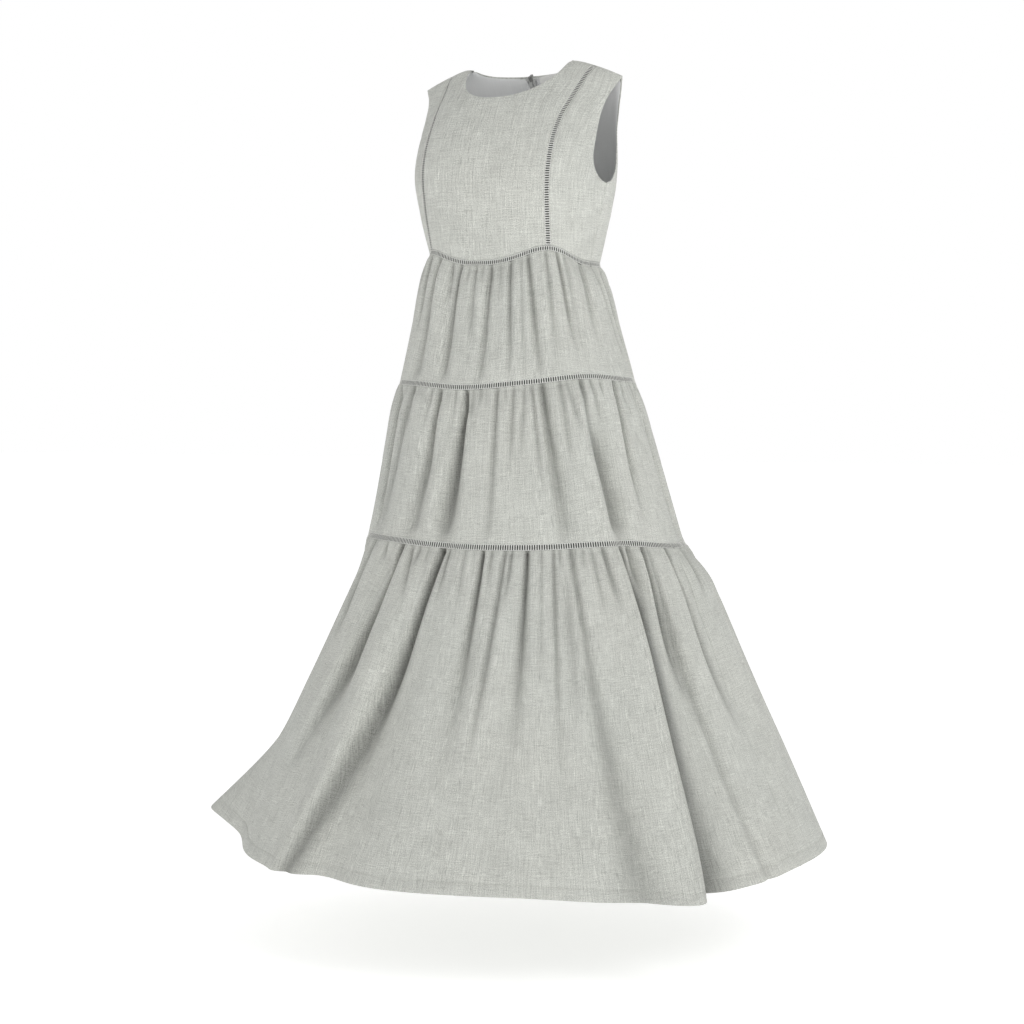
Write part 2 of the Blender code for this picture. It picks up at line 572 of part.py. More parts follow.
def build_skirt(waist_edges):
    """Tier by tier. waist_edges are the bodice's lower edges, which the waist's trims meet."""
    front = np.linspace(-90, 90, TIER_COLUMNS // 2 + 1)
    left, right = back_half(90.0), back_half(-90.0)
    back = np.concatenate((left, right[1:] + 360))
    grids = {
        "tier_1_front": tier_grid(0, front),
        "tier_1_back_left": tier_grid(0, left),
        "tier_1_back_right": tier_grid(0, right),
    }
    for tier in (1, 2):
        grids[f"tier_{tier + 1}_front"] = tier_grid(tier, front)
        grids[f"tier_{tier + 1}_back"] = tier_grid(tier, back)
    for name, grid in grids.items():
        skirt_wall(name, grid, LINEN)
    for part, above in waist_edges.items():
        below = edge_of(skirt_skin, grids[f"tier_1_{part}"], 0)
        shared = np.union1d(above[0], below[0])
        shared = shared[(shared >= below[0][0]) & (shared <= below[0][-1])]
        strip_between(f"trim_waist_{part}", above, below, shared)
    halves = [edge_of(skirt_skin, grids[f"tier_1_back_{side}"], -1) for side in ("left", "right")]
    halves[1] = (halves[1][0] + 360, *halves[1][1:])
    tier_1_back = [np.concatenate(pair) for pair in zip(*halves)]
    above = {
        "trim_tiers_1_2_front": edge_of(skirt_skin, grids["tier_1_front"], -1),
        "trim_tiers_1_2_back": tier_1_back,
        "trim_tiers_2_3_front": edge_of(skirt_skin, grids["tier_2_front"], -1),
        "trim_tiers_2_3_back": edge_of(skirt_skin, grids["tier_2_back"], -1),
    }
    for name, edge in above.items():
        _, _, _, lower, part = name.split("_")
        below = edge_of(skirt_skin, grids[f"tier_{lower}_{part}"], 0)
        strip_between(name, edge, below, below[0])
    return grids["tier_1_back_left"]


# ---------------------------------------------------------------- zip and label
def zip_rows(depth, bodice_back, tier_back):
    """Points on the centre back line and at the tape's edge, from the neck down into the first tier."""
    upper = bodice_skin([part[::-1, -2:] for part in bodice_back], depth)
    lower = skirt_skin([part[:ZIP_FOOT_ROW + 1, -2:] for part in tier_back], depth)
    edge, centre = np.moveaxis(np.concatenate((upper, lower)), 1, 0)
    centre[:, 0] = 0.0
    edge = edge + (centre - edge) * SEAM_GAP / TAPE_HALF_WIDTH
    return np.stack((edge, centre, edge * (-1, 1, 1)), 1)


def build_label(bodice_back):
    """A bare ribbon on the lining, inside the neck beside the zip, on the wearer's left."""
    cell = [part[-2:, -2:-4:-1] for part in bodice_back]
    faces = []
    for depth in (LINING_TOP + LINING + LABEL_CLOTH, LINING_TOP + LINING + 2 * LABEL_CLOTH):
        corners = bodice_skin(cell, depth)
        across = [corners[:, 0] + (corners[:, 1] - corners[:, 0]) * share for share in LABEL_WIDE]
        faces.append(np.stack([[line[0] + (line[1] - line[0]) * share for line in across]
                               for share in LABEL_TALL]))
    wall("neck_label", *faces, WOVEN_LABEL)


def small_box(name, size, centre):
    bpy.ops.mesh.primitive_cube_add(size=1, location=centre)
    box = bpy.context.object
    box.name = name
    box.scale = size
    bpy.ops.object.transform_apply(location=True, rotation=False, scale=True)
    return box


def small_pin(name, radius, length):
    """A round bar along X, through the pin's axis."""
    bpy.ops.mesh.primitive_cylinder_add(vertices=ROUND_SIDES, radius=radius, depth=length,
                                        rotation=(0, math.pi / 2, 0))
    bar = bpy.context.object
    bar.name = name
    bpy.ops.object.transform_apply(location=True, rotation=True, scale=True)
    return bar


def combine(body, operation, *others):
    for other in others:
        cut = body.modifiers.new(other.name, "BOOLEAN")
        cut.operation = operation
        cut.object = other
        other.hide_render = True
        other.display_type = "WIRE"
        for home in other.users_collection:
            home.objects.unlink(other)
        SHAPERS.objects.link(other)


def set_on_zip(pieces, frame):
    for piece in pieces:
        piece.matrix_world = frame
    body = pieces[0]
    for home in body.users_collection:
        home.objects.unlink(body)
    DRESS.objects.link(body)
    body.data.materials.append(material(ZIP_METAL))


def zip_frame(bodice_back):
    """The pin's frame at the centre back of the neck: X along the pin, Y out of the cloth, Z up it."""
    centre, top = np.array([180.0]), bodice_back[1][-1, -1:]
    edge = bodice_point(centre, top)[0]
    out = outward(bodice_point, centre, top, 1.0)[0]
    out = Vector((0, out[1], out[2])).normalized()
    side = Vector((1, 0, 0))
    up = side.cross(out)
    origin = Vector(edge) + out * PIN_REACH - up * PIN_DROP
    return Matrix.Translation(origin) @ Matrix((side, out, up)).transposed().to_4x4()


def build_slider(frame):
    """Its body inside the tape, a bridge over the neck edge, and two ears that hold the pin."""
    inside = -PIN_REACH - LINING_TOP - LINING - SEAM_GAP
    bridge_top = PIN_DROP + 2 * SEAM_GAP + BRIDGE_PLATE
    ear = (BRIDGE_WIDTH - KNUCKLE_WIDTH) / 2 - SEAM_GAP
    reach = KNUCKLE_RADIUS + SEAM_GAP
    body = small_box("zip_slider", (SLIDER_WIDTH, SLIDER_DEPTH, SLIDER_LENGTH),
                     (0, inside - SLIDER_DEPTH / 2, bridge_top - SLIDER_LENGTH / 2))
    bridge_length = reach - inside + SLIDER_DEPTH / 2
    bridge = small_box("slider_bridge", (BRIDGE_WIDTH, bridge_length, BRIDGE_PLATE),
                       (0, reach - bridge_length / 2, bridge_top - BRIDGE_PLATE / 2 - JOIN_DEPTH))
    ear_size = ear, reach + PIN_REACH - SEAM_GAP, bridge_top + PIN_RADIUS * 2
    ears = []
    for name, way in (("left", 1), ("right", -1)):
        middle = (way * (BRIDGE_WIDTH - ear) / 2, (reach - PIN_REACH + SEAM_GAP) / 2,
                  bridge_top / 2 - PIN_RADIUS - 2 * JOIN_DEPTH)
        ears.append(small_box(f"slider_ear_{name}", ear_size, middle))
    pin = small_pin("slider_pin", PIN_RADIUS, BRIDGE_WIDTH - ear)
    combine(body, "UNION", bridge, *ears, pin)
    set_on_zip([body, bridge, *ears, pin], frame)


def build_pull_tab(frame):
    """A teardrop plate that lies down the back from the pin, with its round end about the pin."""
    outline = bpy.data.curves.new("zip_pull_tab", "CURVE")
    outline.dimensions = "2D"
    outline.fill_mode = "BOTH"
    outline.extrude = TAB_PLATE / 2
    half_neck, half_foot = KNUCKLE_WIDTH / 2, TAB_WIDTH / 2
    foot = [(half_foot * math.cos(a), half_foot * math.sin(a) - TAB_LENGTH + half_foot)
            for a in np.radians(np.linspace(0, -180, ROUND_SIDES // 2 + 1))]
    points = [(-half_neck, 0), (half_neck, 0), (half_neck, -TAB_NECK), *foot, (-half_neck, -TAB_NECK)]
    line = outline.splines.new("POLY")
    line.points.add(len(points) - 1)
    for point, (x, z) in zip(line.points, points):
        point.co = (x, z, 0, 1)
    line.use_cyclic_u = True
    flat = bpy.data.objects.new("tab_outline", outline)
    bpy.context.scene.collection.objects.link(flat)
    bpy.context.view_layer.update()
    solid = bpy.data.meshes.new_from_object(flat.evaluated_get(bpy.context.evaluated_depsgraph_get()))
    bpy.data.objects.remove(flat, do_unlink=True)
    builder = bmesh.new()
    builder.from_mesh(solid)
    bmesh.ops.remove_doubles(builder, verts=builder.verts, dist=1e-6)
    upright = Matrix.Translation((0, -TAB_SET_IN, 0)) @ Matrix.Rotation(math.pi / 2, 4, "X")
    bmesh.ops.transform(builder, matrix=upright, verts=builder.verts)
    builder.to_mesh(solid)
    builder.free()
    plate = bpy.data.objects.new("zip_pull_tab", solid)
    bpy.context.scene.collection.objects.link(plate)
    knuckle = small_pin("tab_knuckle", KNUCKLE_RADIUS, KNUCKLE_WIDTH)
    bore = small_pin("tab_bore", KNUCKLE_BORE, KNUCKLE_WIDTH * 2)
    combine(plate, "UNION", knuckle)
    combine(plate, "DIFFERENCE", bore)
    set_on_zip([plate, knuckle, bore], frame)


def build_zip(bodice_back, tier_back):
    outer, inner = (zip_rows(depth, bodice_back, tier_back) for depth in (LINING_TOP, LINING_TOP + LINING))
    wall("zip_tape", outer, inner, TAPE)
    frame = zip_frame(bodice_back)
    build_slider(frame)
    build_pull_tab(frame)


for existing in list(bpy.data.objects):
    bpy.data.objects.remove(existing, do_unlink=True)
DRESS = bpy.data.collections.new("tiered_dress")
SHAPERS = bpy.data.collections.new("shapers")
for made in (DRESS, SHAPERS):
    bpy.context.scene.collection.children.link(made)

back_panel = back_grid()
waist_edges = build_bodice(back_panel)
tier_1_back_left = build_skirt(waist_edges)
build_label(back_panel)
build_zip(back_panel, tier_1_back_left)
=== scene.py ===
# %% [markdown]
# # A sleeveless linen dress with three gathered tiers
#
# The dress stands out as it does when it is worn, and it is hollow. A plain solid of it exists already,
# cut piece by piece as a maker would cut it. This lesson puts the real cloth in its place: linen with
# its threads and creases, open ladder braid in the seams, a smooth lining, a bare label and a zip.

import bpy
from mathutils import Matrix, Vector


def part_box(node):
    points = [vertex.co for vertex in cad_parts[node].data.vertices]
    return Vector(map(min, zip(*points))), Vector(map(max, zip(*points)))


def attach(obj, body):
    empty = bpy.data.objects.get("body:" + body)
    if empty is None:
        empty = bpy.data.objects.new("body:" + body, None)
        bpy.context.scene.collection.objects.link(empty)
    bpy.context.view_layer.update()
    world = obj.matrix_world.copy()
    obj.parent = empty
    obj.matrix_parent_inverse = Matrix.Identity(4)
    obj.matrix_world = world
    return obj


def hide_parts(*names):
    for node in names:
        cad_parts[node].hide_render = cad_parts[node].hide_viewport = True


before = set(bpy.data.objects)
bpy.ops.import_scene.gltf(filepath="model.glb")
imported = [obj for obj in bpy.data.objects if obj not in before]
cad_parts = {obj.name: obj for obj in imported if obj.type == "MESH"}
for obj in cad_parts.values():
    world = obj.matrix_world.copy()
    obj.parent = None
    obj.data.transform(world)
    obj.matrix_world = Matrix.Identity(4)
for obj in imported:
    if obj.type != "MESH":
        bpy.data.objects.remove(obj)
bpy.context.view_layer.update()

# %% Bring in the tools
import math
from collections import namedtuple

import bmesh
import bpy
import numpy as np
from mathutils import Vector

MM = 0.001
print("Blender", bpy.app.version_string)

# %% [markdown]
# ## The camera
#
# Clothes are shown through a long lens from a few metres away, so that the hem isn't larger than the
# shoulders. The camera stands a third of the way round to the wearer's left, level with the skirt's
# upper half, and looks slightly down.

# %% Place the camera
CAMERA_AZIMUTH = math.radians(30)
CAMERA_DISTANCE = 4.0
CAMERA_HEIGHT, AIM_HEIGHT = -0.550, -0.725
AIM_SHIFT = 0.0065        # metres to the camera's left, which sets the dress a little right of centre
LENS, SENSOR_WIDTH = 86.7, 36.0           # in millimetres
camera = bpy.data.objects.new("camera", bpy.data.cameras.new("camera"))
camera.data.lens, camera.data.sensor_width = LENS, SENSOR_WIDTH
bpy.context.scene.collection.objects.link(camera)
bpy.context.scene.camera = camera
towards = Vector((math.sin(CAMERA_AZIMUTH), -math.cos(CAMERA_AZIMUTH), 0))
sideways = Vector((math.cos(CAMERA_AZIMUTH), math.sin(CAMERA_AZIMUTH), 0))
camera.location = towards * CAMERA_DISTANCE + Vector((0, 0, CAMERA_HEIGHT))
aim = Vector((0, 0, AIM_HEIGHT)) - sideways * AIM_SHIFT
camera.rotation_euler = (aim - camera.location).to_track_quat("-Z", "Y").to_euler()
print("camera at", tuple(round(v, 3) for v in camera.location))

# %% [markdown]
# ## The dress's own sizes
#
# Metres, +Z up, and the wearer would face -Y with their left side at +X. Azimuth is in degrees: 0 at the
# centre front, 90 at the wearer's left side seam, 180 at the centre back. Two smooth surfaces carry all
# the cloth. The bodice has a level from 0 at the waist seam to 1 at the shoulder seam, and the skirt has
# a drop of 0 at the waist, 1 and 2 at the tier seams and 3 at the hem. These are the solid's own sizes,
# so every new piece lies where the solid's piece did.

# %% Write down the driving sizes
TRIM_WIDTH = 0.0080       # the open-work ladder trim, edge to edge
SHOULDER_TOP = 0.0120     # height of the shoulder arc above the origin, on the body's axis
SHOULDER_CURVE = 1.29     # its fall, in metres for each square metre of distance from the axis
WAIST_LOW = -0.3275       # height of the waist seam at the centre front and at the sides
WAIST_PEAK = 0.0215       # rise of the waist seam at the princess seams
WAIST_PEAK_POWER = 1.3    # above 1 narrows the two peaks
FRONT_NECK_RISE, BACK_NECK_RISE = 0.779, 0.915    # of the neck edge at the centre front and back
NECK_HALF_ANGLE, NECK_ROUNDNESS = 35.3, 0.50      # its half width in degrees, and 0.5 for an oval
UNDERARM = 1 / 3          # the level where the side seam ends and the armhole starts
HALF_SEAM = 0.00015       # each panel stops this far from a plain seam
print("trim", TRIM_WIDTH / MM, "mm wide")

# %% List the rings and the large folds
BodiceRow = namedtuple(
    "BodiceRow", "name rise half_width front back centre square princess front_arm back_arm")
BODICE = (
    BodiceRow("waist seam", 0.00, 0.1350, 0.1090, 0.0960, 0.000, 0.05, 46.0, 90.0, 90.0),
    BodiceRow("lower ribs", 0.14, 0.1460, 0.1160, 0.1010, 0.000, 0.05, 42.8, 90.0, 90.0),
    BodiceRow("upper ribs", 0.28, 0.1560, 0.1200, 0.1050, 0.000, 0.05, 40.0, 90.0, 90.0),
    BodiceRow("underarm", 0.42, 0.1640, 0.1200, 0.1080, 0.001, 0.05, 38.4, 90.0, 90.0),
    BodiceRow("chest", 0.57, 0.1685, 0.1090, 0.1030, 0.004, 0.04, 38.6, 71.5, 72.0),
    BodiceRow("upper chest", 0.70, 0.1730, 0.0960, 0.0860, 0.010, 0.01, 41.8, 70.0, 71.5),
    BodiceRow("collar bone", 0.79, 0.1770, 0.0810, 0.0640, 0.016, -0.01, 44.8, 69.0, 74.0),
    BodiceRow("yoke", 0.88, 0.1805, 0.0560, 0.0380, 0.020, -0.03, 47.2, 71.0, 79.5),
    BodiceRow("shoulder edge", 0.96, 0.1830, 0.0270, 0.0160, 0.022, -0.04, 49.2, 77.0, 82.5),
    BodiceRow("shoulder seam", 1.00, 0.1835, 0.0000, 0.0000, 0.022, -0.04, 49.9, 84.0, 84.0),
)

# The skirt's rings at its seams. The drop is 0 at the waist, 1 and 2 at the tier seams, 3 at the hem.
SkirtRow = namedtuple("SkirtRow", "name half_width front back shift_x shift_y square")
SKIRT = (
    SkirtRow("waist seam", 0.1350, 0.1090, 0.0960, 0.000, 0.000, 0.05),
    SkirtRow("first tier seam", 0.1950, 0.1650, 0.1550, 0.002, 0.001, 0.01),
    SkirtRow("second tier seam", 0.2640, 0.2280, 0.2200, 0.014, 0.006, 0.00),
    SkirtRow("hem", 0.4980, 0.4580, 0.4450, 0.001, 0.003, 0.00),
)

# Gathered cloth stands out just under the seam that it is gathered to.
Tier = namedtuple("Tier", "name puff belly")
TIERS = (
    Tier("tier_1", 0.0065, 0.000),
    Tier("tier_2", 0.0050, 0.000),
    Tier("tier_3", 0.0060, -0.008),
)
PUFF_PEAK = 0.22          # share of the tier's length where the puff is greatest

# Heights of the two tier seams and the hem round the skirt, at even steps of azimuth from -180.
SeamRow = namedtuple("SeamRow", "azimuth first second hem")
SEAMS = (
    SeamRow(-180, -0.5150, -0.7670, -1.2500),
    SeamRow(-150, -0.5140, -0.7650, -1.2440),
    SeamRow(-120, -0.5130, -0.7640, -1.2330),
    SeamRow(-90, -0.5120, -0.7620, -1.2210),
    SeamRow(-60, -0.5130, -0.7600, -1.2120),
    SeamRow(-30, -0.5165, -0.7615, -1.2500),
    SeamRow(0, -0.5230, -0.7680, -1.2610),
    SeamRow(30, -0.5155, -0.7680, -1.2640),
    SeamRow(60, -0.5060, -0.7630, -1.2800),
    SeamRow(90, -0.5100, -0.7710, -1.2560),
    SeamRow(120, -0.5120, -0.7700, -1.2500),
    SeamRow(150, -0.5140, -0.7680, -1.2520),
)

# The largest folds. Each runs from top to foot, in drops, and may cross a seam; a foot past 3 carries
# it through the hem. height is the ridge's reach outwards, or below zero the trough's depth. left and
# right are its half widths in degrees, towards smaller and greater azimuths, and bow carries its
# middle to a greater azimuth than a straight run would.
Fold = namedtuple("Fold", "azimuth foot_azimuth top foot height left right bow", defaults=(0,))
FOLDS = (
    # first tier
    Fold(-64, -60, 0.00, 1.10, -0.004, 4, 4),
    Fold(-40, -36, 0.00, 1.00, -0.004, 4, 4),
    Fold(-18, -11, 0.00, 1.30, -0.006, 4, 4),
    Fold(7, 9, 0.00, 1.10, -0.004, 4, 4),
    Fold(31, 37, 0.00, 1.20, -0.005, 4, 4),
    Fold(53, 57, 0.00, 1.00, -0.004, 4, 4),
    Fold(74, 77, 0.00, 1.00, -0.004, 4, 4),
    Fold(104, 109, 0.00, 1.20, -0.005, 4, 4),
    Fold(132, 136, 0.00, 1.10, -0.005, 4, 4),
    Fold(154, 157, 0.00, 1.00, -0.004, 4, 4),
    Fold(-152, -156, 0.00, 1.20, -0.005, 4, 4),
    Fold(-124, -128, 0.00, 1.00, -0.004, 4, 4),
    Fold(-96, -94, 0.00, 1.20, -0.005, 4, 4),
    # second tier
    Fold(-68, -72, 1.00, 2.20, -0.008, 4, 4),
    Fold(-46, -42, 1.00, 1.90, -0.006, 4, 4),
    Fold(-14, -17, 1.00, 1.90, -0.007, 4, 4),
    Fold(1, -6, 1.00, 2.40, -0.012, 4, 5),
    Fold(23, 21, 1.00, 1.70, -0.004, 4, 4),
    Fold(36, 43, 1.00, 2.30, -0.008, 4, 5),
    Fold(56, 58, 1.00, 2.30, 0.008, 6, 3),
    Fold(61, 63, 1.10, 2.30, -0.012, 4, 6),
    Fold(79, 77, 1.00, 1.90, -0.006, 4, 4),
    Fold(100, 103, 1.00, 2.20, -0.009, 4, 5),
    Fold(122, 125, 1.00, 2.00, -0.006, 4, 4),
    Fold(146, 143, 1.00, 2.20, -0.010, 5, 4),
    Fold(170, 172, 1.00, 2.00, -0.006, 4, 4),
    Fold(-165, -168, 1.00, 2.20, -0.008, 4, 4),
    Fold(-140, -136, 1.00, 2.30, -0.010, 4, 5),
    Fold(-114, -116, 1.00, 2.00, -0.006, 4, 4),
    Fold(-90, -88, 1.00, 1.90, -0.006, 4, 4),
    # third tier, from the wearer's right side round the front
    Fold(-66, -62, 2.00, 3.15, -0.045, 16, 14),
    Fold(-61, -62, 2.70, 8.50, 0.055, 11, 7),
    Fold(-43, -43, 2.50, 7.00, -0.022, 8, 8),
    Fold(-27, -23, 2.00, 2.90, -0.016, 4, 5),
    Fold(-15, -16.5, 2.05, 6.00, 0.014, 6, 4),
    Fold(-7, -12, 2.00, 6.00, -0.028, 3.5, 8),
    Fold(11, 9, 2.00, 2.90, -0.008, 4, 4),
    Fold(27, 22, 2.00, 3.00, -0.010, 4, 4),
    Fold(35, 35, 2.00, 3.00, -0.010, 3.5, 5),
    Fold(45, 50, 2.05, 6.00, -0.016, 7, 7),
    Fold(58.5, 59.5, 1.90, 6.00, 0.024, 9, 3, 4),
    Fold(65, 67, 1.90, 6.00, -0.022, 4, 8, 4),
    Fold(87, 93, 2.00, 2.80, -0.012, 4, 5),
    Fold(100, 110, 1.96, 3.40, 0.022, 18, 22),
    # third tier, from the wearer's left side round the back
    Fold(112, 120, 2.00, 3.20, -0.014, 4, 6),
    Fold(128, 138, 2.10, 6.00, 0.020, 9, 5),
    Fold(139, 148, 2.00, 6.00, -0.024, 4, 7),
    Fold(160, 163, 2.00, 2.90, -0.010, 4, 4),
    Fold(174, 178, 2.10, 6.00, 0.016, 8, 7),
    Fold(-172, -166, 2.00, 6.00, -0.020, 6, 5),
    Fold(-156, -152, 2.00, 2.90, -0.009, 4, 4),
    Fold(-140, -142, 2.10, 6.00, 0.022, 6, 8),
    Fold(-130, -130, 2.00, 6.00, -0.024, 5, 6),
    Fold(-108, -112, 2.00, 3.10, -0.012, 4, 5),
    Fold(-92, -100, 2.20, 6.00, 0.018, 9, 9),
    Fold(-84, -87, 2.00, 3.60, -0.014, 5, 5),
)
FOLD_RISE = 0.12          # share of a fold's run over which it reaches its full height
FOLD_HOLD = 0.45          # share of its run after which it fades

print("rings:", len(BODICE) + len(SKIRT), "large folds:", len(FOLDS))

# %% [markdown]
# ## Curves through the tables
#
# The tables hold a few values each, and a smooth curve runs through them. A ring of the body is a
# slightly squared ellipse, deeper in front than behind.

# %% Make the curve helpers
def column(rows, field):
    """One field of every row of a table."""
    return np.array([getattr(row, field) for row in rows], float)


def smooth(values, place):
    """The smooth curve through evenly spaced values, at a place from 0 (first) to 1 (last)."""
    knots = np.concatenate(([2 * values[0] - values[1]], values, [2 * values[-1] - values[-2]]))
    along = np.clip(place, 0, 1) * (len(values) - 1)
    first = np.minimum(along.astype(int), len(values) - 2)
    t = along - first
    a, b, c, d = (knots[first + k] for k in range(4))
    return b + 0.5 * t * (c - a + t * (2 * a - 5 * b + 4 * c - d + t * (3 * (b - c) + d - a)))


def smooth_round(values, azimuth):
    """The same for values at even steps of azimuth from -180, closed into a ring."""
    wrapped = np.concatenate((values[-1:], values, values[:2]))
    place = np.mod(azimuth + 180, 360) / 360 * len(values)
    return smooth(wrapped, (place + 1) / (len(wrapped) - 1))


def soft_step(t):
    """From 0 to 1 as t does, without a corner at either end."""
    t = np.clip(t, 0, 1)
    return t * t * (3 - 2 * t)


def ring(azimuth, half_width, front, back, square):
    """x and y on a squared ellipse, and the direction straight out of it."""
    a = np.radians(azimuth)
    depth = np.where(np.cos(a) > 0, front, back)
    across = (np.sin(a) + square * np.sin(3 * a)) / (1 - square)
    along = (np.cos(a) - square * np.cos(3 * a)) / (1 - square)
    out = np.stack((across / half_width, -along / np.maximum(depth, half_width / 4)), -1)
    out /= np.linalg.norm(out, axis=-1, keepdims=True)
    return half_width * across, -depth * along, out


def unit(vectors):
    return vectors / np.maximum(np.linalg.norm(vectors, axis=-1, keepdims=True), 1e-9)


print("half way between 0 and 1:", float(soft_step(0.5)))

# %% Make the two smooth surfaces
def waist_height(azimuth):
    peaks = (0.5 - 0.5 * np.cos(np.radians(4 * azimuth))) ** WAIST_PEAK_POWER
    return WAIST_LOW + WAIST_PEAK * np.where(np.cos(np.radians(azimuth)) > 0, peaks, 0)


def bodice_point(azimuth, level):
    row = {field: smooth(column(BODICE, field), level) for field in BodiceRow._fields[1:7]}
    x, y, _ = ring(azimuth, row["half_width"], row["front"], row["back"], row["square"])
    shoulder = SHOULDER_TOP - SHOULDER_CURVE * x**2
    z = waist_height(azimuth) * (1 - row["rise"]) + shoulder * row["rise"]
    return np.stack((x, y + row["centre"], z), -1)


def seam_height(seam, azimuth):
    if seam == 0:
        return waist_height(azimuth)
    return smooth_round(column(SEAMS, ("first", "second", "hem")[seam - 1]), azimuth)


def fold_reach(azimuth, drop):
    """How far the large folds push the cloth out of its smooth ring."""
    reach = np.zeros_like(azimuth + drop)
    for fold in FOLDS:
        run = (drop - fold.top) / (fold.foot - fold.top)
        shown = (drop - fold.top) / (min(fold.foot, 3) - fold.top)
        middle = fold.azimuth + (fold.foot_azimuth - fold.azimuth) * shown
        middle = middle + 4 * fold.bow * shown * (1 - shown)
        off = np.mod(azimuth - middle + 180, 360) - 180
        width = np.where(off < 0, fold.left, fold.right)
        strength = soft_step(run / FOLD_RISE) * (1 - soft_step((run - FOLD_HOLD) / (1 - FOLD_HOLD)))
        reach += fold.height * strength * np.exp(-((off / width) ** 2))
    return reach


def skirt_point(azimuth, drop, relief=0.0):
    """A place on the skirt, pushed out by a relief of finer creases."""
    azimuth, drop = np.broadcast_arrays(azimuth, drop)
    tier = np.clip(np.floor(drop).astype(int), 0, len(TIERS) - 1)
    share = drop - tier
    upper, lower = (
        {field: column(SKIRT, field)[tier + k] for field in SkirtRow._fields[1:]} for k in (0, 1))
    row = {field: upper[field] * (1 - share) + lower[field] * share for field in upper}
    x, y, out = ring(azimuth, row["half_width"], row["front"], row["back"], row["square"])
    puff = share / PUFF_PEAK * np.exp(1 - share / PUFF_PEAK)
    reach = column(TIERS, "puff")[tier] * puff + column(TIERS, "belly")[tier] * 4 * share * (1 - share)
    reach = reach + fold_reach(azimuth, drop) + relief
    heights = np.stack([seam_height(seam, azimuth) for seam in range(4)])
    above, below = (np.take_along_axis(heights, (tier + k)[None], 0)[0] for k in (0, 1))
    x, y = x + row["shift_x"] + reach * out[..., 0], y + row["shift_y"] + reach * out[..., 1]
    return np.stack((x, y, above * (1 - share) + below * share), -1)


def outward(surface, azimuth, level, top_level, step=0.03, turn=1.5):
    """Unit vectors out of a surface, the cross product of its slopes round and up."""
    low, high = np.clip(level - step, 0, None), np.clip(level + step, None, top_level)
    round_slope = surface(azimuth + turn, level) - surface(azimuth - turn, level)
    up_slope = (surface(azimuth, high) - surface(azimuth, low)) * (-1 if surface is skirt_point else 1)
    return unit(np.cross(round_slope, up_slope))


YOKE_LEVEL, YOKE_LENGTH = 0.88, 0.12      # where front and back begin to turn into one another


def bodice_outward(azimuth, level):
    """Towards the shoulder seam the front's and the back's directions turn into their common one."""
    own = outward(bodice_point, azimuth, level, 1.0)
    opposite = outward(bodice_point, 180 - azimuth, level, 1.0)
    share = 0.5 * soft_step((level - YOKE_LEVEL) / YOKE_LENGTH)[..., None]
    return unit(own * (1 - share) + opposite * share)


def degrees_for(surface, azimuth, level, metres):
    """The azimuth that a distance along the cloth takes up at a place."""
    return metres / np.linalg.norm(surface(azimuth + 0.5, level) - surface(azimuth - 0.5, level), axis=-1)


def levels_for(surface, azimuth, level, metres):
    """The level or drop that a distance down the cloth takes up at a place."""
    inside = np.clip(level, 0.01, 0.99 if surface is bodice_point else 2.99)
    step = surface(azimuth, inside + 0.01) - surface(azimuth, inside - 0.01)
    return 0.02 * metres / np.linalg.norm(step, axis=-1)


all_round = np.linspace(-180, 180, 721)
for seam in range(4):
    line = skirt_point(all_round, np.full(721, min(seam, 2.9999)))
    print("girth at drop", seam, round(float(np.linalg.norm(np.diff(line, axis=0), axis=1).sum()), 3), "m")

# %% [markdown]
# ## How a panel is laid out
#
# A panel is a grid of points. Rows run down the cloth and columns run round it, so its faces look
# outwards. A real panel doesn't end in a cut edge: the cloth is turned under along each seam and pressed.
# So a panel's first and last few lines lie under it and round its edge, and the lines between them are
# spread over the face. Each line holds a share of the panel's length, a distance in metres from there,
# and a depth below the face.

# %% Lay out lines across a panel
CLOTH_THICK = 0.0006      # the linen itself; two layers of it and air make up the solid's wall
COLUMN_EASE = 1.07        # columns are turned a little deeper than rows, so they don't meet in a corner

# Millimetres in from the seam and below the face: from the raw edge under the panel, round the fold, and
# up onto the face. PLAIN is pressed sharper, and HEM ends with the groove that its stitches pull.
EDGE = ((6.0, 1.35), (3.0, 1.35), (0.9, 1.30), (0.25, 1.05), (0.0, 0.66), (0.25, 0.25), (0.9, 0.02))
PLAIN = ((6.0, 1.35), (3.0, 1.35), (0.6, 1.25), (0.12, 0.95), (0.0, 0.50), (0.10, 0.14), (0.5, 0.01))
HEM = ((21.0, 1.35), (14.0, 1.35), (7.0, 1.35), (0.9, 1.30), (0.25, 1.05), (0.0, 0.66), (0.25, 0.25),
       (0.9, 0.02), (18.0, 0.00), (19.0, 0.35), (20.0, 0.35), (21.0, 0.00))


def lines(count, power=1.0, start=EDGE, end=EDGE):
    """[share, distance, depth] of each line, from one edge of a panel to the other."""
    first = [(0.0, run * MM, depth * MM) for run, depth in start]
    last = [(1.0, -run * MM, depth * MM) for run, depth in reversed(end)]
    shares = np.linspace(0, 1, count + 2)[1:-1] ** power
    middle = [(s, first[-1][1] * (1 - s) + last[0][1] * s, 0.0) for s in shares]
    return np.array(first + middle + last).T


def under(rows, columns):
    """The depth of every point of a panel below its face."""
    return np.maximum(rows[2][:, None], COLUMN_EASE * columns[2][None, :])


def cloth_lengths(points):
    """Width and length coordinates in metres, measured along the cloth."""
    u = np.cumsum(np.linalg.norm(np.diff(points, axis=1, prepend=points[:, :1]), axis=-1), axis=1)
    v = np.cumsum(np.linalg.norm(np.diff(points, axis=0, prepend=points[:1]), axis=-1), axis=0)
    middle = points.shape[1] // 2
    return np.stack((u - u[:, middle:middle + 1], v), -1)


print("a turned edge has", len(EDGE), "lines and a hem has", len(HEM))

